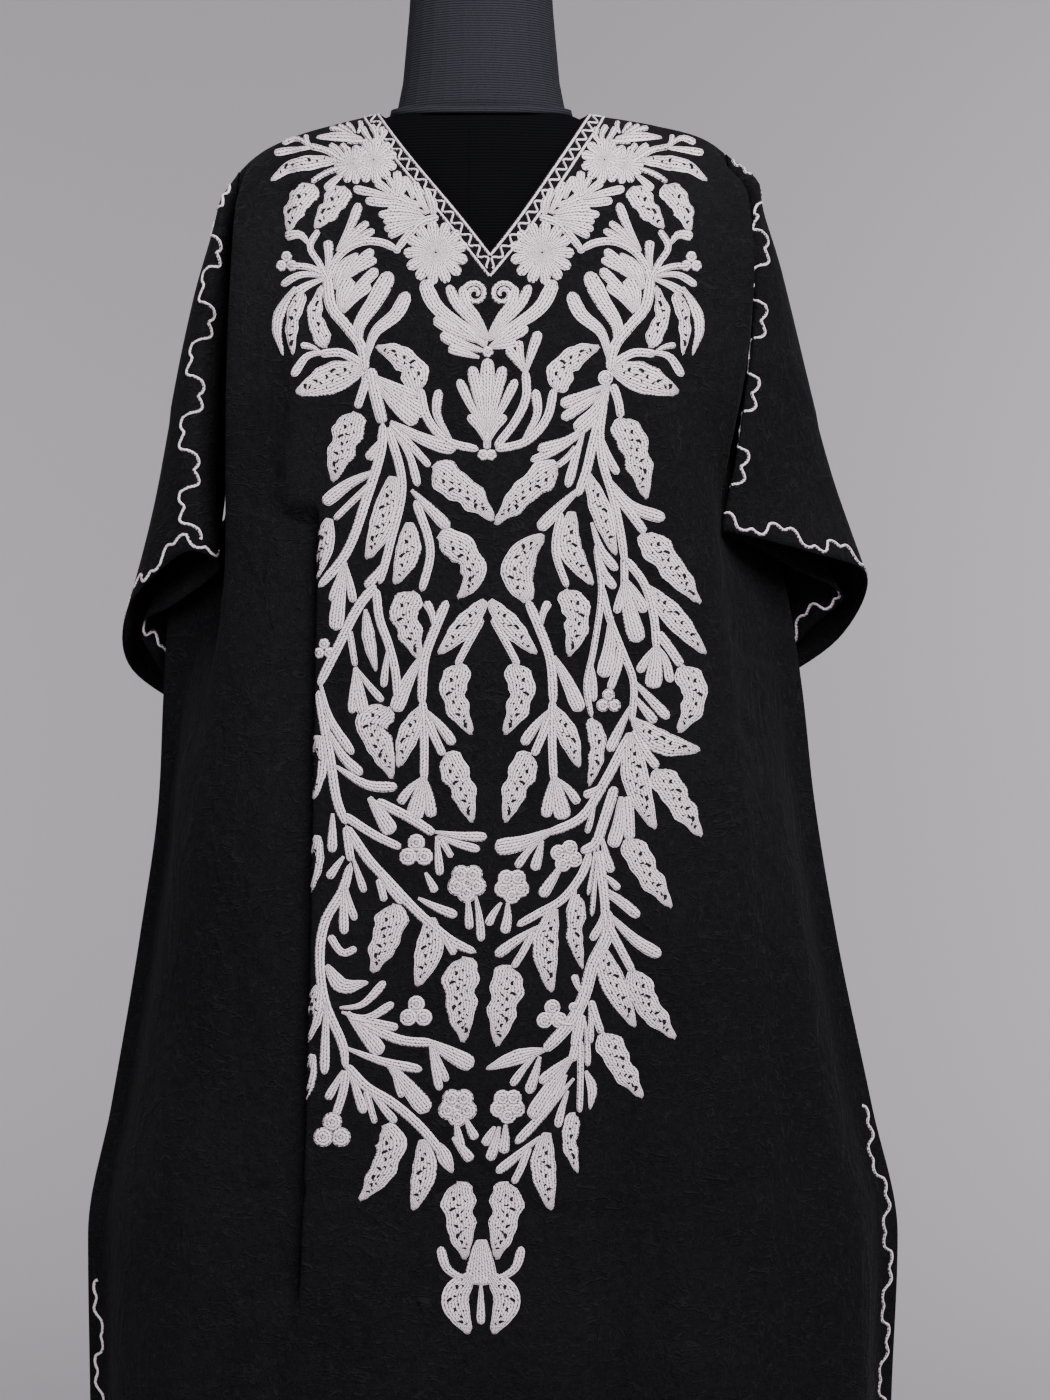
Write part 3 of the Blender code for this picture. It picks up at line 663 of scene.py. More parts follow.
@dataclass(frozen=True)
class Side:
    """One side of the garment: its tables and the sign of its X."""

    sign: int
    body_rows: tuple[tuple[float, ...], ...]
    shoulder_rows: tuple[tuple[float, ...], ...]
    pleat_rows: tuple[tuple[float, ...], ...]
    front_steps: tuple[int, ...] = (14, 14, 8, 8, 12, 8, 8, 8)
    back_steps: tuple[int, ...] = (16, 14, 7, 7, 9)

    @cached_property
    def tables(self) -> tuple[dict[str, Array], ...]:
        """Return the side's tables by drop, as columns by name."""
        return (columns(SIDE_COLUMNS, self.body_rows), columns(PLEAT_COLUMNS, self.pleat_rows),
                columns(MIDDLE_COLUMNS, MIDDLE))

    def read(self, name: str, drop: float) -> float:
        """Return one size of the side at a drop."""
        table = next(table for table in self.tables if name in table)
        return float(smooth(drop, table["drop"], table[name]))

    def point(self, name: str, drop: float) -> tuple[float, float]:
        """Return the plan point of one of the side's folds at a drop."""
        return self.read(name + "_x", drop), self.read(name + "_y", drop)

    def ridge_drop(self, out: Array | float) -> Array:
        """Return how far the shoulder ridge has dropped at a distance from the middle."""
        table = columns(SHOULDER_COLUMNS, self.shoulder_rows)
        return np.maximum(smooth(out, table["out"], table["drop"]), 0.0)

    def height(self, out: Array | float, drop: float) -> Array:
        """Return the height of a row: sloped as the shoulder near the top, then level."""
        return NECK_POINT_HEIGHT - drop - self.ridge_drop(out) * (1 - ease(drop / LEVEL_DROP))

    def roundness(self, out: Array | float, drop: float) -> Array:
        """Return 0 on the shoulder ridge and 1 well below it."""
        below = drop - self.ridge_drop(out) * ease(drop / LEVEL_DROP)
        share = np.clip(below / SHOULDER_ROUND, 0.0, 1.0)
        return (1 - (1 - share) ** SHOULDER_POWER) ** (1 / SHOULDER_POWER)

    def neck_edge(self, drop: float, face: Face) -> float:
        """Return where a row starts: at the neck's edge, or at the middle below it."""
        open_share = 1 - min(drop / face.neck_depth, 1.0) ** face.neck_power
        return self.sign * self.read("middle_x", drop) + NECK_HALF_WIDTH * open_share

    def seam_point(self, drop: float, face: Face) -> tuple[float, float]:
        """Return the seam's plan point. Above the underarm each panel has its own."""
        seam_x, seam_y = self.point("seam", drop)
        if drop < UNDERARM_DROP:
            return seam_x, face.towards * max(-seam_y, SEAM_LIP)
        apart = SEAM_LIP
        if drop > SLIT_DROP:
            apart += SLIT_SPREAD / 2 * float(ease((drop - SLIT_DROP) / (HEM_DROP - SLIT_DROP)))
        return seam_x, seam_y + face.towards * apart

    def seam_place(self, drop: float, face: Face) -> tuple[float, float, float]:
        """Return the seam's place in space."""
        out, depth = self.seam_point(drop, face)
        return (self.sign * out, depth * float(self.roundness(out, drop)), float(self.height(out, drop)))

    def face_depth(self, out: float, drop: float, face: Face) -> float:
        """Return the depth of the flat of a panel at a distance from the middle."""
        middle_y = self.read(face.value + "_y", drop)
        edge_x, edge_y = self.point("ridge" if face is Face.FRONT else "back_fold", drop)
        from_middle = max(out - self.sign * self.read("middle_x", drop), 0.0)
        return middle_y + (edge_y - middle_y) * (from_middle / edge_x) ** FACE_POWER

    def front_corners(self, drop: float) -> list[tuple[float, float]]:
        """Return the plan points of the front's row, from its inner edge to the seam."""
        start = self.neck_edge(drop, Face.FRONT)
        edge = self.read("edge_x", drop)
        drawn = self.read("drawn", drop)
        valley = self.read("valley", drop)
        middle = (start + edge) / 2
        depth = self.face_depth(edge, drop, Face.FRONT)
        back_share = float(ease(2 * drawn))
        spread = min(PLEAT_STEP * (3 - 2 * back_share), (self.read("ridge_x", drop) - edge) / 3)
        return [
            (start, self.face_depth(start, drop, Face.FRONT)),
            (middle, self.face_depth(middle, drop, Face.FRONT)),
            (edge, depth),
            (edge + spread - (spread + PLEAT_DEPTH) * drawn, depth + PLEAT_GAP * back_share + valley),
            (edge + 2 * spread, depth + PLEAT_SET_BACK * back_share + 0.7 * valley),
            *(self.point(name, drop) for name in ("ridge", "fold", "inner")),
            self.seam_point(drop, Face.FRONT),
        ]

    def back_corners(self, drop: float) -> list[tuple[float, float]]:
        """Return the plan points of the back's row, from its inner edge to the seam."""
        start = self.neck_edge(drop, Face.BACK)
        fold_x = self.read("back_fold_x", drop)
        flat = [start + (fold_x - start) * share for share in (0.0, 0.4, 0.8)]
        return [
            *((out, self.face_depth(out, drop, Face.BACK)) for out in flat),
            *(self.point(name, drop) for name in ("back_fold", "back_inner")),
            self.seam_point(drop, Face.BACK),
        ]

    def row(self, drop: float, face: Face) -> Array:
        """Return one row of a panel's half, as points from the inner edge to the seam."""
        if face is Face.FRONT:
            curve = curve_through(self.front_corners(drop), self.front_steps, end_way=(1.0, 0.0))
            folds = FRONT_FOLDS
        else:
            curve = curve_through(self.back_corners(drop), self.back_steps, end_way=(1.0, 0.0))
            folds = BACK_FOLDS
        out, depth = curve[:, 0], curve[:, 1]
        lift = fold_lift(folds, self.sign * out, drop) * (1 - ease(out / out[-1] * 2 - 1))
        deep = depth * self.roundness(out, drop) + face.towards * lift
        return np.stack([self.sign * out, deep, self.height(out, drop)], axis=1)


def fold_lift(folds: Sequence[Sequence[float]], across: Array, drop: float) -> Array:
    """Return how far the soft folds stand out of the cloth along a row.

    Args:
        folds: The table of folds.
        across: Where the row's points lie.
        drop: The row's drop.

    Returns:
        The lift of each point.
    """
    lift = np.zeros_like(across)
    for top_x, hem_x, start, height, width in folds:
        share = (drop - start) / (HEM_DROP - start)
        if share > 0:
            centre = top_x + (hem_x - top_x) * share
            lift += height * float(ease(share * FOLD_ONSET)) * np.exp(-((across - centre) / width) ** 2)
    return lift


RIGHT = Side(1, RIGHT_SIDE, RIGHT_SHOULDER, RIGHT_PLEAT)
LEFT = Side(-1, LEFT_SIDE, LEFT_SHOULDER, LEFT_PLEAT)

# A pressed crease's wander, its bends and the fading of its ends, and how far from a panel's seam and
# top the creases have their full lift
CREASE_WANDER = 0.5
CREASE_BENDS = 7.0
CREASE_FADE = 0.7
CREASE_SIDE_MARGIN = 20.0
CREASE_TOP_MARGIN = 30.0

# Creases pressed into the cloth: both ends, across and below the neck point, then how far each
# stands out and how wide it is
FRONT_CREASES = (
    (181, 401, 232, 435, -2.5, 5),
    (181, 409, 232, 443, 2.0, 5),
    (178, 455, 226, 520, -2.2, 7),
    (184, 470, 240, 545, 2.0, 8),
    (196, 560, 250, 640, -1.6, 9),
    (168, 300, 176, 430, 1.6, 9),
    (186, 110, 172, 230, 2.2, 9),
    (160, 90, 150, 260, -1.6, 10),
    (-172, 110, -160, 260, -1.8, 9),
    (-150, 200, -146, 380, 1.5, 9),
    (-196, 430, -214, 520, -2.0, 8),
    (-224, 470, -238, 560, 1.8, 8),
    (-190, 560, -214, 760, 2.0, 10),
    (-170, 600, -176, 800, -1.8, 10),
    (-225, 700, -262, 900, 2.2, 11),
    (-60, 822, 120, 838, -1.6, 7),
    (120, 838, 250, 812, -1.8, 8),
    (-240, 815, -60, 822, -1.4, 7),
    (-140, 858, 60, 866, 1.3, 9),
    (182, 660, 196, 860, 2.4, 12),
    (226, 620, 246, 900, -2.2, 11),
    (150, 880, 168, 1240, 2.6, 13),
    (210, 900, 238, 1300, -2.6, 14),
    (96, 940, 104, 1290, -2.2, 12),
    (-96, 960, -104, 1290, 2.2, 12),
    (-30, 980, -34, 1300, -1.8, 12),
    (-200, 900, -226, 1300, -2.4, 13),
    (-250, 1000, -268, 1300, 2.0, 12),
    (40, 1020, 52, 1300, 2.0, 12),
    (-20, 360, 60, 372, -0.8, 7),
    (30, 520, 130, 508, 0.8, 8),
)
BACK_CREASES = (
    (-150, 90, 150, 96, -1.8, 12),
    (-120, 150, 40, 176, 1.5, 12),
    (-160, 260, -60, 380, -1.8, 12),
    (160, 250, 70, 390, 1.8, 12),
    (-196, 430, -222, 620, 2.0, 10),
    (196, 430, 226, 640, -2.0, 10),
    (-80, 420, -90, 760, 1.6, 12),
    (20, 400, 24, 800, -1.8, 13),
    (110, 500, 124, 860, 2.0, 13),
    (-200, 700, -236, 1200, -2.4, 13),
    (-150, 760, -170, 1280, 2.4, 14),
    (60, 860, 76, 1290, 2.2, 14),
    (180, 800, 208, 1290, -2.4, 13),
    (-200, 830, 30, 842, -1.5, 8),
    (30, 842, 230, 826, -1.5, 8),
)


def crease_lift(creases: Sequence[Sequence[float]], across: Array, down: Array) -> Array:
    """Return how far the pressed creases stand out of the cloth.

    Args:
        creases: The table of creases.
        across: The points' distance from the form's middle.
        down: The points' drop.

    Returns:
        The lift of each point.
    """
    lift = np.zeros_like(across)
    for start_x, start_drop, end_x, end_drop, height, width in creases:
        way = np.array([end_x - start_x, end_drop - start_drop])
        share = ((across - start_x) * way[0] + (down - start_drop) * way[1]) / (way @ way)
        held = np.clip(share, 0.0, 1.0)
        wander = width * CREASE_WANDER * np.sin(held * CREASE_BENDS + start_x)
        side = ((across - start_x) * way[1] - (down - start_drop) * way[0]) / np.linalg.norm(way) + wander
        past = (share - held) * np.linalg.norm(way)
        fade = np.sin(np.pi * held) ** CREASE_FADE
        lift += height * fade * np.exp(-(side / width) ** 2 - (past / width) ** 2)
    return lift


class ClothGrid:
    """A cloth surface as a grid of points, from row to row downward, with its outward normals."""

    def __init__(self, points: Array, outward: int) -> None:
        """Keep a grid of points and the sign that turns its normals outward."""
        self.points = points
        self.outward = outward

    @cached_property
    def normals(self) -> Array:
        """Return the grid's outward normals."""
        down = np.gradient(self.points, axis=0)
        across = np.gradient(self.points, axis=1)
        normal = np.cross(across, down) * self.outward
        return normal / np.maximum(np.linalg.norm(normal, axis=2, keepdims=True), 1e-9)

    def lifted(self, lift: Array) -> "ClothGrid":
        """Return the surface moved out by a lift at each point."""
        return ClothGrid(self.points + self.normals * lift[..., None], self.outward)

    @cached_property
    def across(self) -> Array:
        """Return the length along each row, from its first point."""
        return lengths_along(self.points, axis=1)

    @cached_property
    def down(self) -> Array:
        """Return the length down each column, from its first point."""
        return lengths_along(self.points, axis=0)

    def sample(self, row: Array, column: Array) -> tuple[Array, Array]:
        """Return places on the surface and the normals there."""
        return bilinear(self.points, row, column), bilinear(self.normals, row, column)

    def at(self, row: Array, column: Array, lift: Array) -> Array:
        """Return places that stand out of the surface by a lift."""
        places, normals = self.sample(row, column)
        return places + normals * np.asarray(lift)[..., None]

    def beside(self, row: Array, column: Array, across: Array) -> Array:
        """Return the columns that lie so many millimetres beside places, along their rows."""
        return places_at(self.across, row, bilinear(self.across, row, column) + across)

    def below(self, row: Array, column: Array, down: Array) -> Array:
        """Return the rows that lie so many millimetres below places, down their columns."""
        return places_at(self.down.T, column, bilinear(self.down, row, column) + down)

    def area(self) -> float:
        """Return the surface's area in square metres."""
        upper_left, upper_right = self.points[:-1, :-1], self.points[:-1, 1:]
        lower_left, lower_right = self.points[1:, :-1], self.points[1:, 1:]
        first = np.cross(lower_left - upper_left, upper_right - upper_left)
        second = np.cross(lower_left - lower_right, upper_right - lower_right)
        total = np.linalg.norm(first, axis=2).sum() + np.linalg.norm(second, axis=2).sum()
        return float(total) / 2 * METRES**2


def add_piece(name: str, mesh: bpy.types.Mesh, material: bpy.types.Material) -> bpy.types.Object:
    """Add a mesh as a piece that rides on the root body.

    Args:
        name: The piece's name.
        mesh: Its mesh, in metres.
        material: Its material.

    Returns:
        The piece.
    """
    piece = bpy.data.objects.new(name, mesh)
    bpy.context.scene.collection.objects.link(piece)
    mesh.materials.append(material)
    mesh.shade_smooth()
    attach(piece, "root")
    log.info("%s: %d faces", name, len(mesh.polygons))
    return piece


def cloth_mesh(name: str, grids: Sequence[ClothGrid]) -> bpy.types.Mesh:
    """Return grids joined into one open cloth mesh, with doubled points welded."""
    mesh = bpy.data.meshes.new(name)
    shape = bmesh.new()
    for grid in grids:
        verts = [[shape.verts.new(point) for point in row] for row in grid.points * METRES]
        for upper, lower in zip(verts[:-1], verts[1:]):
            for place in range(len(upper) - 1):
                corners = (upper[place], lower[place], lower[place + 1], upper[place + 1])
                shape.faces.new(corners[::-1] if grid.outward > 0 else corners)
    bmesh.ops.remove_doubles(shape, verts=shape.verts, dist=WELD_DISTANCE * METRES)
    shape.to_mesh(mesh)
    shape.free()
    return mesh


def build_cloth(name: str, node: str, grids: Sequence[ClothGrid],
                material: bpy.types.Material) -> bpy.types.Object:
    """Build a piece of cloth in place of the solid that has its form.

    Args:
        name: The piece's name.
        node: The solid's node, which is hidden.
        grids: The surfaces that it is made of, side by side.
        material: The cloth's material.

    Returns:
        The piece, with its thickness evenly to both sides.
    """
    piece = add_piece(name, cloth_mesh(name, grids), material)
    wall = piece.modifiers.new("cloth wall", "SOLIDIFY")
    wall.thickness = SHELL_THICKNESS * METRES
    wall.offset = 0.0
    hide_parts(node)
    return piece


def declare_cloth(grids: Sequence[ClothGrid]) -> None:
    """Sum the area of the surfaces that a piece is made of, which nothing uses.

    Args:
        grids: The surfaces that it is made of, side by side.
    """
    area = sum(grid.area() for grid in grids)


@dataclass
class BodyPanel:
    """The front or the back of the kaftan."""

    face: Face
    row_step: float = 5.0
    row_room: float = 0.6
    shoulder_step: float = 2.5
    shoulder_span: tuple[float, float] = (4.5, 28.0)
    level_start: float = 30.0

    @cached_property
    def drops(self) -> Array:
        """Return how far each row lies below the neck point, closer together on the shoulder."""
        key = {0.0, 1.0, 2.5, BACK_NECK_DEPTH, SEAM_CORNER_DROP, FRONT_NECK_DEPTH, UNDERARM_DROP,
               SLIT_DROP, HEM_DROP}
        near = set(np.arange(*self.shoulder_span, self.shoulder_step))
        far = set(np.arange(self.level_start, HEM_DROP, self.row_step))
        rows = sorted(key | near | far)
        kept = [low for high, low in zip(rows[:-1], rows[1:]) if low - high > self.row_room or low in key]
        return np.array([rows[0]] + kept)

    def half(self, side: Side) -> Array:
        """Return one half of the panel as a grid of points, drawn back from its seams."""
        grid = np.array([side.row(float(drop), self.face) for drop in self.drops])
        away = grid[:, -2] - grid[:, -1]
        grid[:, -1] += away / np.maximum(np.linalg.norm(away, axis=1), 1e-6)[:, None] * SEAM_HALF_GAP
        grid[0, :, 1] += self.face.towards * SEAM_HALF_GAP
        return grid

    @cached_property
    def halves(self) -> tuple[ClothGrid, ClothGrid]:
        """Return the right and left halves with their creases, each from the middle to the seam."""
        creases = FRONT_CREASES if self.face is Face.FRONT else BACK_CREASES
        made = []
        for side in (RIGHT, LEFT):
            grid = ClothGrid(self.half(side), side.sign * self.face.towards)
            across = grid.points[..., 0]
            down = np.broadcast_to(self.drops[:, None], across.shape)
            edge = lengths_along(grid.points[:, ::-1], axis=1)[:, ::-1]
            held = ease(edge / CREASE_SIDE_MARGIN) * ease(down / CREASE_TOP_MARGIN)
            made.append(grid.lifted(crease_lift(creases, across, down) * held))
        return made[0], made[1]

    def build(self, material: bpy.types.Material) -> bpy.types.Object:
        """Build the panel from the cloth's material."""
        return build_cloth(self.face.value + "_panel", "kaftan_" + self.face.value, self.halves, material)


@dataclass
class Sleeve:
    """One wide short sleeve: a tube from the dropped shoulder to its cuff."""

    side: Side
    stations: tuple[tuple[float, ...], ...]
    underseam_end: tuple[float, float, float]
    name: str
    wave_shift: float
    arm_rows: int = 40
    seam_rows: int = 22
    steps: tuple[int, ...] = (7, 7, 7, 7, 8, 10, 10, 10, 8)
    top_line: int = 5

    def edge_lines(self) -> tuple[Array, Array]:
        """Return the sleeve's front and back edge lines, from the seam's top corners to the cuff."""
        drops = np.linspace(SEAM_CORNER_DROP, UNDERARM_DROP, self.arm_rows)
        lines = []
        for face in Face:
            line = np.array([self.side.seam_place(float(drop), face) for drop in drops])
            start = line[-1] + np.array(UNDERSEAM_START_SHIFT) * (self.side.sign, 1, 1)
            end_x, end_y, end_z = self.underseam_end
            finish = np.array((self.side.sign * end_x, end_y + face.towards * SEAM_LIP, end_z))
            share = np.linspace(0, 1, self.seam_rows)[:, None]
            lines.append(np.concatenate([line, start + (finish - start) * share]))
        return lines[0], lines[1]

    def arch(self) -> Array:
        """Return the seam's line over the shoulder, from its front corner to its back corner."""
        drops = (0, 2, 7, 15, 28, SEAM_CORNER_DROP)
        front = [self.side.seam_place(float(drop), Face.FRONT) for drop in reversed(drops)]
        back = [self.side.seam_place(float(drop), Face.BACK) for drop in drops[1:]]
        return np.array(front + back)

    @cached_property
    def grid(self) -> ClothGrid:
        """Return the sleeve's surface, from its seam down to its cuff."""
        table = columns(SLEEVE_COLUMNS, self.stations)
        front_line, back_line = self.edge_lines()
        arch = self.arch()
        count = len(self.stations)
        down = (front_line[0, 2] - front_line[:, 2]) / (front_line[0, 2] - front_line[-1, 2])
        paths = [front_line]
        for place in range(count):
            top = smooth((place + 1) / (count + 1) * (len(arch) - 1), np.arange(len(arch)), arch)
            cuff_z = table["cuff_z"][place]
            path = [top]
            for level, share in SLEEVE_LEVELS:
                across = self.side.sign * table[level + "_x"][place]
                path.append((across, table[level + "_y"][place], top[2] + (cuff_z - top[2]) * share))
            shares = [0.0] + [share for _, share in SLEEVE_LEVELS]
            paths.append(smooth(down, shares, np.array(path)))
        paths.append(back_line)
        corners = np.array(paths).transpose(1, 0, 2)
        rows = np.array([curve_through(row, self.steps) for row in corners])
        rows[:self.arm_rows, :, 0] += self.side.sign * SLEEVE_SEAM_GAP
        return ClothGrid(rows, -self.side.sign)

    def build(self, material: bpy.types.Material) -> bpy.types.Object:
        """Build the sleeve from the cloth's material."""
        return build_cloth(self.name + "_sleeve", "sleeve_" + self.name, [self.grid], material)


class Motif(Enum):
    """The shapes of the embroidery."""

    STEM = "stem"
    FINGER = "finger"
    LEAF = "leaf"
    DOTTED = "smooth leaf with eyelets"
    WAVY = "wavy leaf with eyelets"


STEM, FINGER, LEAF, DOTTED, WAVY = Motif

# How wide each motif is along its length, as shares of its length and of its width
OUTLINES = {
    STEM: ((0, 0.0), (0.03, 0.8), (0.1, 1.0), (0.9, 0.95), (0.97, 0.75), (1, 0.0)),
    FINGER: ((0, 0.3), (0.2, 0.55), (0.5, 0.82), (0.8, 1.0), (0.93, 0.88), (0.985, 0.45), (1, 0.0)),
    LEAF: ((0, 0.25), (0.15, 0.62), (0.4, 1.0), (0.65, 0.86), (0.88, 0.45), (0.98, 0.22), (1, 0.0)),
    DOTTED: ((0, 0.3), (0.15, 0.68), (0.38, 1.0), (0.6, 0.92), (0.82, 0.55), (0.96, 0.28), (1, 0.0)),
    WAVY: ((0, 0.0), (0.03, 0.42), (0.12, 0.86), (0.24, 1.0), (0.36, 0.9), (0.46, 0.76), (0.58, 0.84),
           (0.68, 0.76), (0.8, 0.48), (0.93, 0.27), (0.98, 0.2), (1, 0.0)),
}

# How far a leaf's two edges differ, as a share of its length
SWAYS = {WAVY: 0.035, DOTTED: 0.012, LEAF: 0.012}

# Steps by this share of a whole spread evenly and never line up
GOLDEN_SHARE = 0.618

# The embroidery, charted: each row is a motif, its width, and then the points that it follows
# from its foot to its tip, away from the design's middle line and down the view
SHARED_CHART = (
    # Shoulder
    (FINGER, 6, 112, 145, 106, 136, 108, 127),
    (FINGER, 6, 113, 145, 113, 134, 118, 125),
    (FINGER, 6, 115, 145, 122, 136, 127, 127),
    (FINGER, 5, 131, 134, 128, 127, 129, 121),
    (FINGER, 5, 133, 134, 138, 127, 143, 123),
    (FINGER, 5, 135, 135, 144, 129, 151, 125),
    (FINGER, 5, 138, 136, 149, 130, 160, 128),
    (LEAF, 10, 126, 139, 152, 137, 173, 138),
    (LEAF, 6, 120, 142, 132, 142, 142, 144),
    (FINGER, 6, 142, 158, 143, 150, 148, 144),
    (FINGER, 7, 144, 160, 151, 151, 160, 145),
    (STEM, 6, 146, 161, 162, 151, 180, 146),
    (FINGER, 5, 177, 147, 182, 141, 183, 134),
    (FINGER, 6, 179, 147, 192, 138, 207, 143),
    (FINGER, 7, 178, 148, 196, 150, 215, 153),
    (DOTTED, 16, 152, 161, 178, 163, 200, 168, 218, 182),
    (STEM, 5, 150, 169, 164, 174, 178, 183),
    (WAVY, 27, 175, 184, 192, 207, 200, 233),
    (FINGER, 8, 146, 175, 155, 182, 164, 191),
    # Ferns beside the neck band
    (FINGER, 8, 92, 198, 85, 188, 83, 176),
    (FINGER, 8, 93, 197, 91, 185, 92, 171),
    (FINGER, 6, 94, 197, 96, 187, 101, 178),
    (FINGER, 8, 95, 198, 103, 189, 114, 182),
    (FINGER, 8, 92, 199, 112, 194, 136, 189),
    (FINGER, 10, 70, 208, 86, 199, 100, 190),
    (FINGER, 9, 76, 200, 78, 190, 84, 180),
    (FINGER, 9, 64, 206, 80, 203, 94, 197),
    (FINGER, 8, 84, 205, 104, 203, 124, 201),
    (FINGER, 6, 55, 216, 54, 207, 57, 198),
    (FINGER, 7, 57, 215, 59, 201, 64, 188),
    (FINGER, 9, 60, 214, 68, 200, 75, 182),
    (FINGER, 7, 62, 214, 88, 205, 117, 203),
    (FINGER, 7, 66, 215, 84, 211, 102, 210),
    (FINGER, 8, 64, 217, 88, 214, 111, 215),
    (FINGER, 7, 66, 219, 88, 220, 106, 222),
    (FINGER, 7, 68, 221, 88, 225, 105, 230),
    (FINGER, 7, 70, 223, 86, 230, 101, 237),
    (STEM, 7, 50, 217, 68, 223, 83, 238, 92, 250),
    (STEM, 7, 92, 250, 106, 243, 126, 242, 146, 252, 158, 270, 161, 285),
    # Outer spray
    (WAVY, 27, 144, 186, 158, 209, 174, 230),
    (STEM, 6, 170, 230, 179, 247, 170, 263, 161, 280),
    (FINGER, 9, 179, 246, 189, 235, 204, 237),
    (FINGER, 9, 152, 252, 138, 226, 129, 203),
    (FINGER, 7, 148, 248, 134, 233, 120, 222),
    (FINGER, 7, 146, 249, 131, 239, 114, 230),
    (FINGER, 9, 162, 270, 160, 254, 161, 240),
    (LEAF, 17, 154, 290, 143, 266, 131, 253),
    (FINGER, 9, 148, 280, 130, 262, 115, 250),
    (FINGER, 8, 144, 280, 128, 268, 112, 259),
    (FINGER, 10, 146, 312, 132, 290, 111, 269),
    (FINGER, 13, 146, 313, 134, 296, 119, 283),
    (FINGER, 15, 147, 313, 146, 294, 138, 278),
    (STEM, 6, 165, 274, 182, 267, 200, 266),
    (FINGER, 7, 163, 277, 188, 275, 208, 286),
    (FINGER, 8, 164, 279, 180, 285, 195, 294),
    (WAVY, 20, 160, 348, 174, 316, 168, 285),
    (WAVY, 16, 187, 292, 196, 324, 194, 356),
    (LEAF, 12, 193, 287, 208, 312, 211, 330, 204, 356),
    (STEM, 10, 162, 276, 157, 307, 142, 326, 126, 348, 122, 372),
    (FINGER, 16, 124, 362, 130, 330, 113, 300, 98, 272),
    (FINGER, 13, 122, 362, 113, 333, 92, 314, 81, 292),
    (WAVY, 31, 67, 392, 77, 366, 96, 353, 113, 348),
    (STEM, 8, 67, 388, 60, 418, 40, 441, 8, 450),
    (DOTTED, 34, 124, 368, 152, 377, 191, 394),
    (STEM, 8, 126, 364, 146, 353, 168, 354),
    (FINGER, 8, 160, 353, 180, 356, 195, 377),
    (FINGER, 6, 166, 353, 177, 347, 188, 345),
    # Middle top
    (FINGER, 14, -1, 340, 26, 326, 52, 307, 66, 280),
    (FINGER, 10, 0, 338, 20, 318, 32, 304, 41, 285),
    (FINGER, 9, 0, 336, 12, 316, 22, 304, 27, 286),
    (FINGER, 9, 1, 348, 18, 334, 33, 322),
    (FINGER, 13, 0, 434, 0, 394, 0, 358),
    (FINGER, 11, 1, 433, 9, 396, 16, 366),
    (FINGER, 9, 2, 431, 17, 404, 29, 379),
    (STEM, 7, 0, 450, 0, 438, 0, 426),
    (FINGER, 9, 36, 440, 50, 414, 48, 389),
    (FINGER, 8, -1, 446, 8, 428, 19, 415),
    # Centre
    (STEM, 9, 40, 600, 52, 628, 63, 660, 66, 705),
    (FINGER, 8, 54, 626, 56, 612, 62, 601),
    (DOTTED, 24, 2, 600, 18, 620, 49, 655),
    (STEM, 7, 5, 618, 20, 645, 31, 666),
    (WAVY, 31, 28, 662, 34, 695, 15, 735),
    (FINGER, 14, 66, 656, 80, 682, 93, 712),
    (DOTTED, 23, 66, 707, 80, 736, 90, 768),
    (FINGER, 10, 62, 710, 46, 728, 34, 745),
    (STEM, 8, 62, 716, 54, 736, 45, 756),
    (WAVY, 32, 44, 753, 28, 784, 15, 823),
    (STEM, 8, 65, 700, 64, 740, 65, 782),
    (FINGER, 11, 64, 778, 60, 796, 57, 818),
    (FINGER, 16, 65, 776, 70, 798, 75, 820),
    (FINGER, 9, 67, 778, 80, 790, 90, 804),
    (WAVY, 37, 26, 1181, 23, 1212, 14, 1260),
    # Motif above the hem
    (FINGER, 30, 0, 1239, 0, 1262, 0, 1286),
    (FINGER, 9, 4, 1274, 19, 1277, 34, 1268, 41, 1246),
    (DOTTED, 30, 10, 1274, 26, 1298, 11, 1334),
    (FINGER, 8, 0, 1284, 0, 1304, 0, 1325),
)
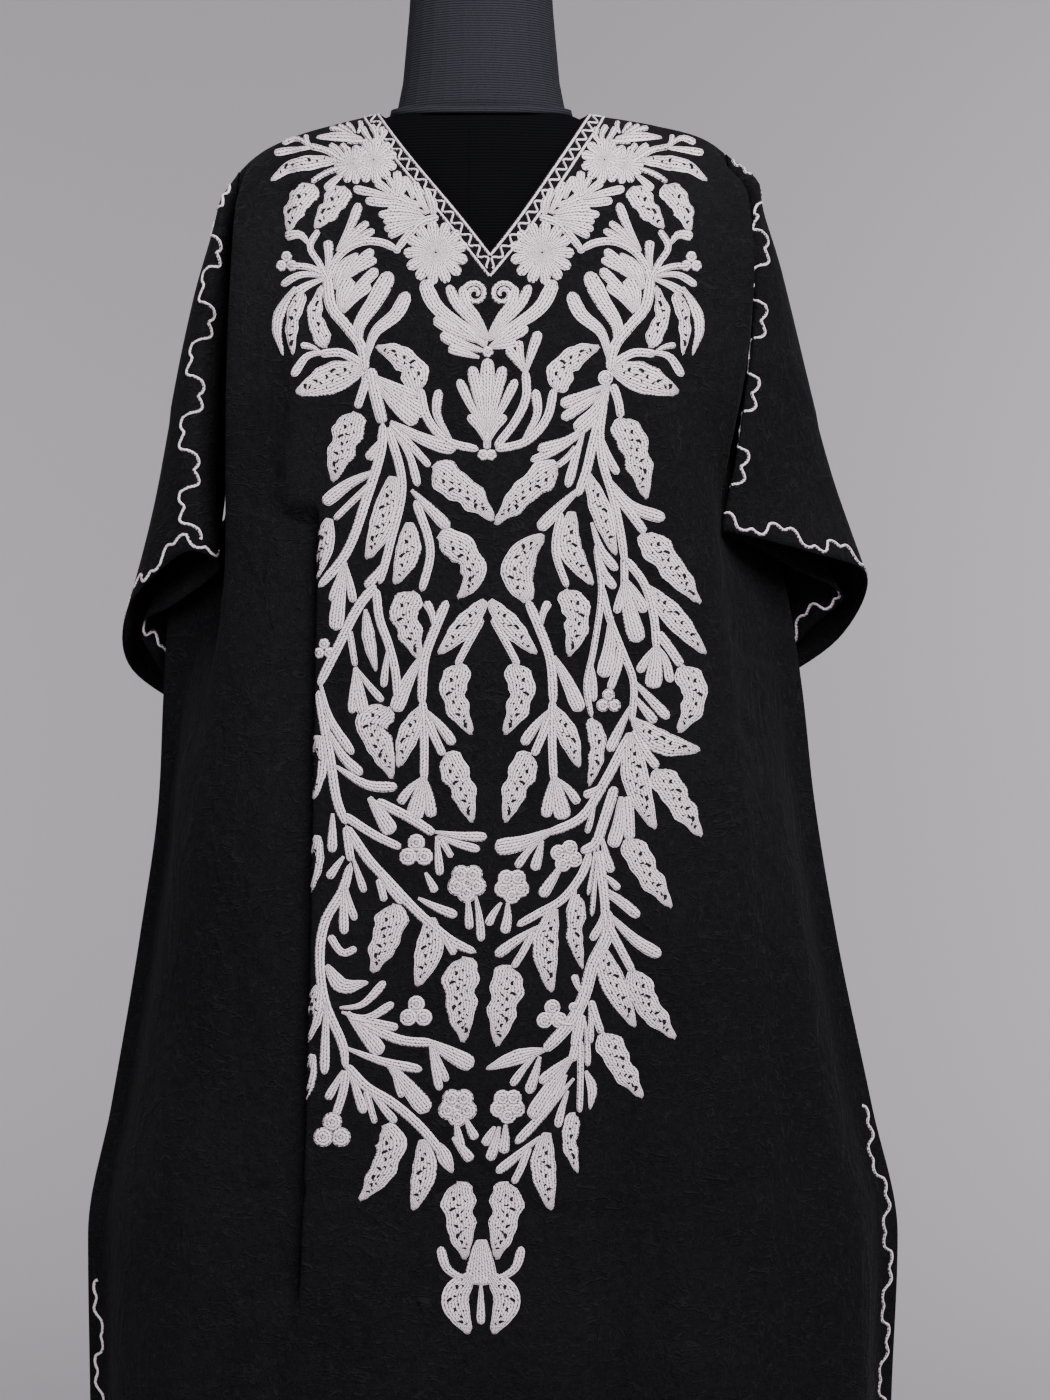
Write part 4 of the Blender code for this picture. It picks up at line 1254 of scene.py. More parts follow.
RIGHT_CHART = (
    # Forked bud and fountain
    (FINGER, 9, 38, 374, 30, 362, 19, 348),
    (FINGER, 7, 38, 372, 33, 356, 31, 340),
    (FINGER, 10, 38, 374, 44, 352, 51, 331),
    (STEM, 8, 38, 370, 39, 398, 28, 422, 8, 448),
    (FINGER, 10, 2, 346, 22, 338, 40, 327),
    (FINGER, 9, 2, 348, 17, 345, 29, 342),
    # Hub and the fans below it
    (FINGER, 11, 118, 386, 96, 396, 73, 405),
    (FINGER, 10, 118, 392, 96, 406, 74, 419),
    (FINGER, 15, 121, 382, 112, 408, 88, 432),
    (FINGER, 11, 104, 424, 78, 442, 50, 450),
    (FINGER, 8, 98, 432, 70, 450, 43, 461),
    (STEM, 6, 90, 446, 80, 458, 69, 467),
    (FINGER, 9, 97, 430, 89, 456, 80, 488),
    (WAVY, 33, 73, 466, 46, 484, 6, 524),
    (STEM, 9, 119, 386, 114, 412, 106, 443, 99, 472, 90, 497),
    (FINGER, 12, 93, 488, 72, 508, 51, 530),
    (STEM, 8, 118, 400, 113, 430, 115, 460, 126, 498, 134, 536, 138, 566),
    (FINGER, 8, 114, 436, 122, 458, 131, 475),
    (STEM, 8, 125, 384, 131, 400, 134, 418),
    (WAVY, 35, 134, 416, 149, 454, 158, 500),
    (DOTTED, 23, 101, 474, 114, 512, 128, 556),
    (FINGER, 9, 104, 522, 114, 550, 130, 571),
    (FINGER, 9, 108, 545, 116, 572, 128, 589),
    (FINGER, 12, 122, 480, 144, 506, 178, 519),
    (STEM, 9, 128, 494, 144, 514, 158, 533),
    (WAVY, 33, 156, 531, 178, 560, 212, 605),
    (DOTTED, 27, 85, 511, 82, 546, 105, 586),
    (STEM, 7, 74, 512, 68, 550, 80, 588),
    (WAVY, 32, 80, 588, 90, 618, 80, 657),
    (DOTTED, 36, 41, 602, 30, 572, 42, 548, 58, 536),
    (STEM, 7, 137, 556, 137, 585, 136, 596),
    (FINGER, 8, 137, 580, 133, 596, 129, 614),
    (FINGER, 17, 137, 578, 142, 610, 151, 643),
    (FINGER, 11, 139, 580, 148, 594, 158, 613),
    (STEM, 8, 138, 558, 158, 586, 167, 620, 169, 650),
    (DOTTED, 25, 160, 587, 184, 614, 218, 655),
    (STEM, 9, 170, 632, 182, 648, 194, 666),
    (FINGER, 9, 169, 646, 160, 658, 151, 673),
    (FINGER, 16, 169, 644, 168, 664, 165, 689),
    (FINGER, 9, 170, 646, 178, 660, 183, 683),
    (STEM, 6, 108, 545, 114, 590, 106, 650, 99, 685, 104, 719),
    (STEM, 7, 114, 585, 122, 618, 136, 654, 146, 682, 144, 724),
    (FINGER, 14, 124, 616, 122, 648, 115, 678),
    (STEM, 8, 134, 646, 130, 668, 122, 690),
    # Middle of the skirt
    (FINGER, 7, 103, 660, 106, 680, 106, 702),
    (WAVY, 20, 105, 717, 109, 748, 99, 787),
    (FINGER, 10, 145, 680, 162, 698, 181, 719),
    (FINGER, 9, 145, 694, 156, 708, 168, 723),
    (WAVY, 31, 196, 664, 207, 698, 189, 733),
    (FINGER, 10, 143, 706, 132, 728, 120, 752),
    (DOTTED, 27, 145, 720, 172, 742, 212, 751),
    (STEM, 9, 145, 730, 156, 750, 169, 768),
    (WAVY, 33, 168, 767, 189, 801, 212, 838),
    (DOTTED, 30, 142, 732, 148, 784, 166, 830),
    (STEM, 9, 142, 734, 116, 782, 92, 818, 58, 834),
    (FINGER, 16, 66, 830, 34, 843, 6, 848),
    (FINGER, 8, 118, 782, 106, 791, 94, 796),
    (FINGER, 8, 50, 842, 38, 854, 28, 868),
    (FINGER, 10, 54, 840, 50, 856, 46, 871),
    (FINGER, 8, 14, 902, 6, 914, 0, 926),
    (FINGER, 10, 20, 902, 20, 918, 17, 934),
    (FINGER, 11, 74, 864, 64, 880, 53, 897),
    (STEM, 10, 126, 786, 115, 822, 106, 845, 92, 852),
    (FINGER, 13, 132, 796, 130, 824, 124, 848),
    (STEM, 11, 138, 796, 140, 820, 141, 840),
    (WAVY, 31, 141, 836, 155, 866, 183, 909),
    (FINGER, 6, 106, 797, 103, 816, 98, 834),
    (FINGER, 9, 114, 838, 118, 856, 124, 873),
    (FINGER, 4, 107, 845, 104, 870, 100, 896),
    (FINGER, 5, 110, 846, 107, 880, 104, 917),
    (STEM, 9, 110, 850, 114, 876, 117, 900, 119, 930),
    (FINGER, 7, 113, 874, 122, 880, 132, 890),
    (FINGER, 9, 118, 894, 134, 904, 152, 917),
    (STEM, 8, 102, 852, 94, 874, 74, 900, 50, 914, 29, 926),
    (FINGER, 7, 88, 886, 85, 900, 81, 915),
    (WAVY, 21, 92, 894, 87, 934, 95, 970),
    # Lower sprays
    (DOTTED, 28, 67, 908, 58, 944, 64, 993),
    (FINGER, 10, 52, 926, 30, 940, 8, 956),
    (STEM, 7, 46, 930, 38, 948, 26, 968),
    (WAVY, 38, 25, 965, 17, 1004, 10, 1047),
    (FINGER, 8, 117, 908, 113, 924, 104, 941),
    (STEM, 12, 119, 908, 120, 934, 106, 964, 98, 994, 86, 1020, 58, 1052),
    (FINGER, 9, 120, 890, 136, 902, 152, 917),
    (FINGER, 12, 121, 914, 148, 940, 174, 956),
    (STEM, 8, 121, 926, 134, 950, 146, 972),
    (WAVY, 31, 148, 968, 158, 1000, 189, 1040),
    (DOTTED, 28, 112, 944, 126, 982, 149, 1028),
    (FINGER, 7, 95, 994, 90, 984, 87, 974),
    (STEM, 6, 90, 1024, 78, 1024, 68, 1018),
    (STEM, 7, 104, 1000, 110, 1018, 116, 1034),
    (WAVY, 31, 118, 1031, 134, 1063, 158, 1099),
    (FINGER, 7, 98, 996, 92, 1022, 88, 1048),
    (FINGER, 6, 103, 1006, 105, 1026, 105, 1044),
    (FINGER, 6, 99, 1020, 102, 1044, 103, 1067),
    (LEAF, 11, 101, 1070, 108, 1088, 106, 1110),
    (LEAF, 17, 60, 1050, 30, 1058, 1, 1069),
    (FINGER, 8, 50, 1056, 38, 1070, 27, 1086),
    (FINGER, 10, 55, 1056, 50, 1076, 44, 1094),
    (FINGER, 9, 12, 1126, 6, 1136, 1, 1146),
    (FINGER, 10, 16, 1126, 12, 1144, 6, 1161),
    (FINGER, 10, 22, 1124, 22, 1138, 20, 1154),
    (STEM, 9, 96, 1014, 92, 1040, 87, 1062),
    (FINGER, 10, 88, 1056, 70, 1070, 55, 1083),
    (FINGER, 15, 86, 1060, 66, 1088, 47, 1119),
    (FINGER, 9, 82, 1074, 76, 1088, 70, 1102),
    (STEM, 6, 95, 1040, 96, 1080, 96, 1113),
    (FINGER, 9, 90, 1078, 60, 1114, 32, 1144),
    (FINGER, 8, 84, 1090, 78, 1110, 74, 1128),
    (WAVY, 19, 92, 1112, 86, 1140, 94, 1174),
    (DOTTED, 28, 64, 1132, 60, 1164, 68, 1211),
    (FINGER, 9, 58, 1136, 34, 1156, 13, 1173),
    (STEM, 7, 46, 1146, 38, 1168, 30, 1184),
)
LEFT_CHART = (
    # Fountain
    (FINGER, 12, 0, 344, 28, 333, 55, 318),
    (FINGER, 11, 2, 352, 26, 345, 48, 334),
    (FINGER, 9, 8, 358, 24, 353, 40, 348),
    # Hub and the fans below it
    (STEM, 8, 118, 370, 124, 390, 130, 409),
    (STEM, 11, 117, 368, 112, 392, 104, 424),
    (WAVY, 35, 134, 411, 139, 434, 147, 457, 153, 483),
    (FINGER, 10, 114, 376, 90, 388, 69, 397),
    (FINGER, 14, 113, 378, 86, 398, 60, 415),
    (FINGER, 14, 112, 380, 92, 404, 70, 424),
    (FINGER, 13, 97, 422, 62, 440, 31, 450),
    (FINGER, 8, 93, 432, 78, 455, 69, 487),
    (STEM, 7, 97, 424, 72, 450, 57, 467),
    (WAVY, 36, 56, 467, 34, 483, 10, 501, -8, 520),
    (FINGER, 9, 104, 438, 112, 449, 120, 460),
    (FINGER, 12, 111, 471, 138, 484, 164, 504),
    (STEM, 6, 115, 483, 134, 501, 153, 520),
    (DOTTED, 24, 158, 518, 164, 545, 172, 580),
    (DOTTED, 30, 94, 476, 101, 515, 120, 560),
    (DOTTED, 27, 78, 522, 79, 552, 92, 585),
    (FINGER, 11, 76, 490, 57, 509, 38, 529),
    (STEM, 8, 72, 500, 57, 550, 66, 592),
    (WAVY, 33, 74, 590, 83, 612, 75, 637, 66, 660),
    (WAVY, 33, 51, 538, 22, 552, 13, 578, 29, 600),
    (STEM, 9, 104, 422, 106, 450, 120, 497, 141, 553, 169, 588),
    (STEM, 8, 99, 427, 85, 485, 97, 543, 108, 585),
    (FINGER, 9, 99, 558, 110, 574, 122, 588),
    (FINGER, 14, 142, 562, 148, 598, 152, 631),
    (FINGER, 8, 141, 566, 137, 585, 134, 603),
    (FINGER, 8, 144, 566, 150, 584, 156, 602),
    (STEM, 9, 111, 585, 127, 604, 150, 648, 169, 686),
    (STEM, 8, 111, 588, 108, 618, 99, 644, 92, 672, 90, 702),
    (WAVY, 35, 98, 706, 116, 725, 104, 753, 95, 779),
    (LEAF, 14, 122, 609, 118, 641, 111, 672),
    (FINGER, 7, 99, 648, 102, 668, 104, 688),
    (STEM, 6, 138, 630, 135, 648, 132, 667),
    (FINGER, 8, 132, 667, 134, 690, 136, 714),
    (FINGER, 13, 132, 667, 129, 690, 125, 714),
    (FINGER, 7, 132, 667, 118, 686, 104, 702),
    (FINGER, 9, 167, 683, 158, 718, 135, 755),
    (FINGER, 10, 160, 730, 145, 757, 126, 775),
    (DOTTED, 26, 170, 735, 173, 768, 175, 800),
    (FINGER, 10, 155, 765, 121, 785, 91, 787),
    (STEM, 9, 169, 690, 158, 760, 152, 800, 142, 825),
    (FINGER, 9, 156, 813, 156, 833, 156, 853),
    (DOTTED, 22, 171, 835, 175, 865, 179, 896),
    (FINGER, 15, 120, 797, 108, 815, 96, 834),
    (STEM, 8, 145, 815, 114, 835, 87, 848),
    (FINGER, 8, 63, 872, 57, 883, 52, 893),
    (STEM, 9, 113, 801, 79, 818, 54, 834),
    (FINGER, 9, 54, 832, 28, 836, 1, 837),
    (FINGER, 8, 52, 836, 30, 844, 8, 850),
    (FINGER, 8, 52, 836, 50, 856, 48, 876),
    (STEM, 6, 48, 838, 42, 848, 36, 858),
    (FINGER, 8, 20, 896, 19, 913, 18, 930),
    (FINGER, 8, 12, 896, 8, 919, 6, 942),
    (STEM, 9, 143, 825, 121, 858, 98, 883, 66, 916, 34, 942, 10, 953),
    (FINGER, 8, 110, 870, 98, 888, 84, 904),
    (FINGER, 9, 70, 898, 50, 908, 30, 916),
    (STEM, 8, 142, 826, 140, 844, 137, 862),
    (FINGER, 8, 144, 856, 152, 867, 160, 879),
    (FINGER, 7, 135, 858, 129, 876, 123, 893),
    (STEM, 7, 109, 878, 106, 890, 103, 902),
    (WAVY, 36, 95, 903, 97, 925, 105, 950, 113, 974),
    (DOTTED, 30, 57, 917, 57, 945, 69, 987),
    (STEM, 7, 43, 935, 38, 945, 32, 955),
    (WAVY, 40, 25, 956, 26, 990, 20, 1043),
    (FINGER, 9, 144, 880, 144, 908, 143, 935),
    (FINGER, 7, 143, 884, 138, 903, 132, 921),
    (STEM, 9, 137, 862, 145, 890, 162, 921, 167, 953, 162, 1000, 142, 1047, 139, 1070),
    (STEM, 7, 158, 935, 144, 953, 130, 948),
    (LEAF, 17, 161, 965, 144, 986, 118, 982),
    (FINGER, 8, 147, 1008, 125, 1005, 101, 981),
    (FINGER, 8, 145, 1012, 120, 1018, 92, 1003),
    (FINGER, 15, 139, 1012, 121, 1033, 103, 1054),
    (STEM, 8, 137, 1018, 112, 1023, 87, 1028),
    (STEM, 9, 127, 1022, 85, 1040, 52, 1043),
    (FINGER, 16, 61, 1040, 36, 1053, 11, 1066),
    (FINGER, 8, 55, 1046, 50, 1068, 44, 1091),
    (FINGER, 7, 52, 1046, 45, 1064, 37, 1082),
    (FINGER, 9, 160, 1000, 160, 1037, 160, 1075),
    (FINGER, 9, 142, 1047, 104, 1061, 62, 1070),
    (FINGER, 17, 97, 1063, 76, 1087, 55, 1112),
    (FINGER, 7, 92, 1068, 87, 1083, 81, 1098),
    (FINGER, 9, 18, 1118, 13, 1129, 7, 1140),
    (FINGER, 9, 28, 1120, 25, 1135, 22, 1150),
    (FINGER, 8, 141, 1070, 149, 1085, 157, 1100),
    (FINGER, 9, 135, 1070, 127, 1092, 119, 1114),
    (STEM, 8, 138, 1070, 141, 1092, 148, 1116),
    (STEM, 9, 139, 1064, 119, 1086, 91, 1103, 62, 1128, 30, 1168),
    (FINGER, 8, 113, 1092, 100, 1108, 87, 1123),
    (STEM, 6, 118, 1090, 113, 1107, 108, 1124),
    (WAVY, 33, 102, 1126, 92, 1143, 100, 1170, 122, 1202),
    (DOTTED, 27, 61, 1139, 58, 1168, 69, 1211),
    (LEAF, 16, 45, 1143, 38, 1158, 30, 1173),
    (FINGER, 10, 31, 1137, 21, 1149, 11, 1161),
    (DOTTED, 24, 168, 985, 174, 1015, 180, 1046),
    (DOTTED, 20, 172, 1054, 178, 1083, 184, 1112),
)


class Half(Enum):
    """The halves of the front that a motif is sewn on, by the signs of their X."""

    BOTH = (1, -1)
    RIGHT = (1,)
    LEFT = (-1,)


CHARTS = ((Half.BOTH, SHARED_CHART), (Half.RIGHT, RIGHT_CHART), (Half.LEFT, LEFT_CHART))

# Round flowers, berries in clusters, single knots and curled tendrils: away from the middle line, down
# the view, radius, and the number of petals or berries
ROSETTES = ((115, 161, 24, 11), (135, 165, 20, 11), (53, 253, 33, 13))
CLUSTERS = (
    (Half.BOTH, 202, 263, 7, 3), (Half.RIGHT, 121, 702, 8, 3), (Half.RIGHT, 78, 856, 10, 4),
    (Half.RIGHT, 24, 886, 11, 5), (Half.RIGHT, 66, 1016, 10, 3), (Half.RIGHT, 24, 1106, 11, 5),
    (Half.LEFT, 163, 650, 7, 3), (Half.LEFT, 72, 852, 11, 3), (Half.LEFT, 21, 883, 12, 5),
    (Half.LEFT, 70, 1013, 10.5, 3), (Half.LEFT, 26, 1107, 12, 5), (Half.LEFT, 151, 1132, 12, 3),
)
KNOTS = (
    (Half.BOTH, 4, 455, 6), (Half.BOTH, 92, 250, 4), (Half.BOTH, 0, 352, 6), (Half.RIGHT, 87, 1007, 5),
    (Half.BOTH, 118, 378, 8),
)
SPIRALS = ((14, 294, 13),)

# A round flower's rings, from its middle: the share of its radius, and how deep its petals' grooves are
ROSETTE_RINGS = ((0.03, 0.0), (0.3, 0.1), (0.62, 0.6), (0.9, 0.75), (1.0, 0.0))

# A knot's rings, from its middle: the share of its radius, and how far it stands out
KNOT_RINGS = ((0.03, 1.5), (0.6, 1.45), (0.85, 1.2), (1.0, 0.25))


@dataclass
class Patchwork:
    """Raised patches of stitching, gathered into one mesh with a UV map in millimetres."""

    points: list[Array] = field(default_factory=list)
    faces: list[tuple[int, ...]] = field(default_factory=list)
    threads: list[Array] = field(default_factory=list)
    count: int = 0

    def add(self, points: Array, threads: Array, faces: Iterable[Sequence[int]]) -> None:
        """Add one patch.

        Args:
            points: Its places, one row for each.
            threads: How far each lies along and across the rows of stitches.
            faces: Its faces, as places in points.
        """
        self.points.append(points.reshape(-1, 3))
        self.threads.append(threads.reshape(-1, 2))
        self.faces.extend(tuple(self.count + place for place in face) for face in faces)
        self.count += len(self.points[-1])

    def piece(self, name: str, material: bpy.types.Material, slot: str) -> bpy.types.Object:
        """Return the patches as one piece, with its material."""
        mesh = bpy.data.meshes.new(name)
        mesh.from_pydata(np.concatenate(self.points) * METRES, [], self.faces)
        threads = np.concatenate(self.threads)
        layer = mesh.uv_layers.new(name="threads")
        corners = np.array([loop.vertex_index for loop in mesh.loops])
        layer.data.foreach_set("uv", threads[corners].ravel())
        mesh.validate()
        mesh.update()
        return add_piece(name, mesh, material)


def grid_faces(rows: int, cells: int, turned: bool, closed: bool = False) -> list[tuple[int, ...]]:
    """Return the faces of a grid of points.

    Args:
        rows: How many rows of points there are.
        cells: How many points each row has.
        turned: Whether the faces are turned over.
        closed: Whether the last point of each row joins its first.

    Returns:
        The faces, as places in the grid.
    """
    made = []
    for row in range(rows - 1):
        for cell in range(cells if closed else cells - 1):
            following = (cell + 1) % cells
            corners = (row * cells + cell, row * cells + following,
                       (row + 1) * cells + following, (row + 1) * cells + cell)
            made.append(corners[::-1] if turned else corners)
    return made


class PanelChart:
    """One panel measured along its rows from the middle line, for the sewing on it."""

    rounds: int = 7
    row_gain: float = 0.15

    def __init__(self, panel: BodyPanel) -> None:
        """Measure the panel's two halves, along their rows from the middle line."""
        self.drops = panel.drops
        self.halves = dict(zip((1, -1), panel.halves))
        self.spans = {}
        for side in (RIGHT, LEFT):
            grid = self.halves[side.sign]
            middle = np.array([side.read("middle_x", float(drop)) for drop in panel.drops])
            start = np.abs(grid.points[:, 0, 0] - middle)
            self.spans[side.sign] = lengths_along(grid.points, axis=1) + start[:, None]

    def column(self, sign: int, row: Array, out: Array) -> Array:
        """Return the column, with its part, that lies so far out along each row."""
        return places_at(self.spans[sign], row, out)

    def locate(self, chart: Array, sign: int) -> tuple[Array, Array]:
        """Return the row and the distance along it at which chart points lie on one half.

        Args:
            chart: The points, away from the design's middle line and down the view.
            sign: Which half, by the sign of its X.

        Returns:
            The rows with their parts, and the distances from the garment's middle line.
        """
        turned = (sign < 0) & (chart[:, 1] > PLEAT_TOP_ROW)
        shown_x = np.where(turned, np.minimum(chart[:, 0], PLEAT_REACH), chart[:, 0])
        axis = np.array(DESIGN_AXIS)
        target_x = np.interp(chart[:, 1], axis[:, 0], axis[:, 1]) + sign * shown_x
        target = np.stack([target_x, chart[:, 1]], axis=1)
        down = project(self.halves[sign].points[:, 0])[:, 1]
        row = np.interp(target[:, 1], down, np.arange(len(down)))
        out = sign * (target[:, 0] - GARMENT_MIDDLE_COLUMN) * CHART_UNIT
        for _ in range(self.rounds):
            missed = target - project(self.place(sign, row, out, np.zeros(len(out))))
            out = out + sign * missed[:, 0] * CHART_UNIT
            row = np.clip(row + missed[:, 1] * self.row_gain, 0, len(down) - LAST_CELL)
        return row, out + (chart[:, 0] - shown_x) * CHART_UNIT

    def place(self, sign: int, row: Array, out: Array, lift: Array) -> Array:
        """Return places on one half of the front.

        Args:
            sign: Which half, by the sign of its X.
            row: The rows.
            out: The distances from the middle line.
            lift: How far the places stand out of the cloth.

        Returns:
            The places. Those a little past the middle line lie on the other half.
        """
        made = np.empty((len(out), 3))
        for half in (1, -1):
            here = (out >= 0) == (half == sign)
            if here.any():
                column = self.column(half, row[here], np.abs(out[here]))
                made[here] = self.halves[half].at(row[here], column, lift[here])
        return made


@dataclass
class Embroidery:
    """The front's field of chain-stitched flowers and leaves."""

    chart: PanelChart
    across: tuple[float, ...] = (-1.0, -0.72, -0.3, 0.3, 0.72, 1.0)
    lifts: tuple[float, ...] = (0.25, 1.25, 1.45, 1.45, 1.25, 0.25)
    step: float = 3.2
    least_steps: int = 7
    crowding: float = 0.45
    axis_reach: float = 6.5
    left_lift: float = 0.08
    strand_share: float = 1.18
    layer_height: float = 0.3
    ripple_depth: float = 2.4
    ripples: float = 25.0
    side_phase: float = 90.0
    leaf_phase: float = 40.0
    eyelet_room: float = 80.0
    eyelet_span: tuple[float, float] = (0.11, 0.87)
    eyelet_side: float = 0.6
    eyelet_margin: float = 3.0
    eyelet_sizes: tuple[float, float] = (1.0, 2.6)
    eyelet_stretch: float = 1.3
    eyelet_lift: float = 1.62
    lobe_share: float = 0.85
    half: Half = Half.BOTH
    count: int = 0

    def next_lift(self) -> float:
        """Return a small lift that differs from motif to motif, so that none lie in one plane."""
        self.count += 1
        return self.layer_height * ((self.count * GOLDEN_SHARE) % 1.0)

    def follow(self, points: Array) -> tuple[Array, Array, Array, float]:
        """Return places along a motif's line, closer together at its ends.

        Args:
            points: The points that the line passes through.

        Returns:
            The places, the directions across the line there, the places' shares of its length, and the
            length.
        """
        line = curve_through(points, [8] * (len(points) - 1))
        lengths = lengths_along(line)
        count = max(int(lengths[-1] / self.step), self.least_steps)
        at_ends = 0.5 - 0.5 * np.cos(np.linspace(0, np.pi, count + 1))
        share = (1 - self.crowding) * np.linspace(0, 1, count + 1) + self.crowding * at_ends
        spine = np.stack([np.interp(share * lengths[-1], lengths, line[:, axis]) for axis in (0, 1)], axis=1)
        way = np.gradient(spine, axis=0)
        way /= np.maximum(np.linalg.norm(way, axis=1), 1e-6)[:, None]
        return spine, np.stack([-way[:, 1], way[:, 0]], axis=1), share, float(lengths[-1])

    def edges(self, kind: Motif, share: Array, higher: float) -> list[Array]:
        """Return a motif's half widths on its two sides, as shares of the widest."""
        table = np.array(OUTLINES[kind])
        sway = SWAYS.get(kind, 0.0)
        sides = []
        for shift in (-sway, sway):
            edge = np.interp(np.clip(share + shift, 0, 1), table[:, 0], table[:, 1])
            turns = share * self.ripples + self.side_phase * shift + self.leaf_phase * higher
            sides.append(edge * (1 + self.ripple_depth * sway * np.sin(turns)))
        return sides

    def stroke(self, patches: Patchwork, eyelets: Patchwork, row: Sequence[object]) -> None:
        """Add one motif that follows a line.

        Args:
            patches: The stitching.
            eyelets: The cloth that shows in the leaves' eyelets.
            row: The chart's row.
        """
        kind = row[0]
        width = float(row[1]) * (self.strand_share if kind in (STEM, FINGER) else 1.0)
        spine, beside, share, length = self.follow(np.array(row[2:], dtype=float).reshape(-1, 2))
        higher = self.next_lift()
        sides = self.edges(kind, share, higher)
        ends = np.minimum(share, 1 - share) < 1e-6
        across = np.array(self.across)
        half = np.where(across[None, :] < 0, sides[0][:, None], sides[1][:, None]) * width / 2
        half[ends] = np.minimum(half[ends], min(sides[0][0], sides[1][0]) * width / 2)
        flat = spine[:, None, :] + beside[:, None, :] * (across * half)[..., None]
        along = np.broadcast_to((share * length)[:, None], half.shape) * CHART_UNIT
        threads = np.stack([along, across * width / 2 * CHART_UNIT + np.zeros_like(half)], axis=-1)
        lift = np.broadcast_to(np.array(self.lifts), half.shape) + higher
        lift[:, (0, -1)] = self.lifts[0]
        lift[(0, -1), :] = self.lifts[0]
        self.lay(patches, flat, lift, threads)
        if kind in (WAVY, DOTTED):
            self.pierce(eyelets, spine, beside, share, np.minimum(*sides) * width / 2, higher)

    def lay(self, patches: Patchwork, flat: Array, lift: Array, threads: Array, closed: bool = False) -> None:
        """Lay a grid of chart points on the halves of the front that it is sewn on.

        Args:
            patches: The stitching that the grid joins.
            flat: The chart points.
            lift: How far each stands out.
            threads: How far each lies along and across the stitches.
            closed: Whether the last point of each row joins its first.
        """
        rows, cells = flat.shape[:2]
        middle = np.abs(flat[..., 0].min() + flat[..., 0].max()) < self.axis_reach / 2
        for sign in (1,) if middle else self.half.value:
            row, out = self.chart.locate(flat.reshape(-1, 2), sign)
            placed = self.chart.place(sign, row, out, lift.reshape(-1) + (self.left_lift if sign < 0 else 0))
            patches.add(placed, threads, grid_faces(rows, cells, sign < 0, closed))

    def pierce(self, eyelets: Patchwork, spine: Array, beside: Array, share: Array, half: Array,
               higher: float) -> None:
        """Scatter eyelets over a leaf.

        Args:
            eyelets: The eyelets made so far.
            spine: The leaf's middle line.
            beside: The direction across the leaf at each of its points.
            share: How far along the leaf each point lies.
            half: The leaf's half width there.
            higher: How far the leaf is raised above the others.
        """
        length = lengths_along(spine)[-1]
        count = int(length * half.max() / self.eyelet_room)
        turn = np.linspace(0, 2 * np.pi, 6, endpoint=False)
        first, last = self.eyelet_span
        small, large = self.eyelet_sizes
        for place in range(count):
            along = first + (last - first) * (place + 0.5) / count
            side = self.eyelet_side * (((place * GOLDEN_SHARE) % 1.0) * 2 - 1)
            index = np.interp(along, share, np.arange(len(share)))
            low = int(index)
            part = index - low
            centre = spine[low] * (1 - part) + spine[min(low + 1, len(spine) - 1)] * part
            room = max(np.interp(along, share, half) - self.eyelet_margin, 0.3)
            centre = centre + beside[low] * side * room
            size = small + (large - small) * ((place * 0.377) % 1.0) ** 1.6
            tilt = 3.0 * ((place * 0.29) % 1.0) + along * 2.0
            rough = 1 + 0.4 * np.sin(turn * 2 + place) + 0.2 * np.sin(turn * 3 + 2 * place)
            ring = np.stack([np.cos(turn), np.sin(turn)], axis=1) * (size * rough)[:, None]
            ring[:, 1] *= self.eyelet_stretch
            ring = ring @ np.array([[np.cos(tilt), np.sin(tilt)], [-np.sin(tilt), np.cos(tilt)]])
            flat = np.stack([centre + ring * 0.02, centre + ring])
            lift = np.full((2, len(turn)), self.eyelet_lift + higher)
            self.lay(eyelets, flat, lift, flat * CHART_UNIT, closed=True)

    def rosette(self, patches: Patchwork, x: float, y: float, radius: float, petals: int) -> None:
        """Add a round flower with a scalloped edge."""
        turn = np.linspace(0, 2 * np.pi, petals * 8, endpoint=False)
        scallop = np.abs(np.cos(turn * petals / 2)) ** 0.55
        rings = []
        lifts = []
        for share, groove in ROSETTE_RINGS:
            reach = radius * share * (1 - (0.26 * share**2) * (1 - scallop))
            rings.append(np.stack([x + np.cos(turn) * reach, y + np.sin(turn) * reach], axis=1))
            lifts.append(0.25 + (0.0 if share == 1.0 else 1.25) * (1 - groove * (1 - scallop)))
        reach = np.array(ROSETTE_RINGS)[:, :1] * radius * CHART_UNIT
        threads = np.stack([reach + np.zeros_like(turn), turn * radius * 0.6 + np.zeros_like(reach)], axis=-1)
        self.lay(patches, np.array(rings), np.array(lifts), threads, closed=True)

    def knob(self, patches: Patchwork, x: float, y: float, radius: float) -> None:
        """Add a small round patch of stitching."""
        turn = np.linspace(0, 2 * np.pi, 14, endpoint=False)
        shares, lifts = np.array(KNOT_RINGS).T
        ring = np.stack([np.cos(turn), np.sin(turn)], axis=1)
        flat = np.array([x, y]) + ring[None] * (shares * radius)[:, None, None]
        lift = lifts[:, None] + np.zeros_like(turn)
        along = shares[:, None] * radius * CHART_UNIT + np.zeros_like(turn)
        threads = np.stack([turn * radius * 0.5 + np.zeros_like(along), along], axis=-1)
        self.lay(patches, flat, lift, threads, closed=True)

    def lobed(self, patches: Patchwork, x: float, y: float, radius: float, lobes: int) -> None:
        """Add a small flower of round lobes."""
        for place in range(lobes):
            turn = 2 * np.pi * (place + 0.25) / lobes
            lobe = radius * self.lobe_share
            self.knob(patches, x + np.cos(turn) * lobe, y + np.sin(turn) * lobe, lobe)

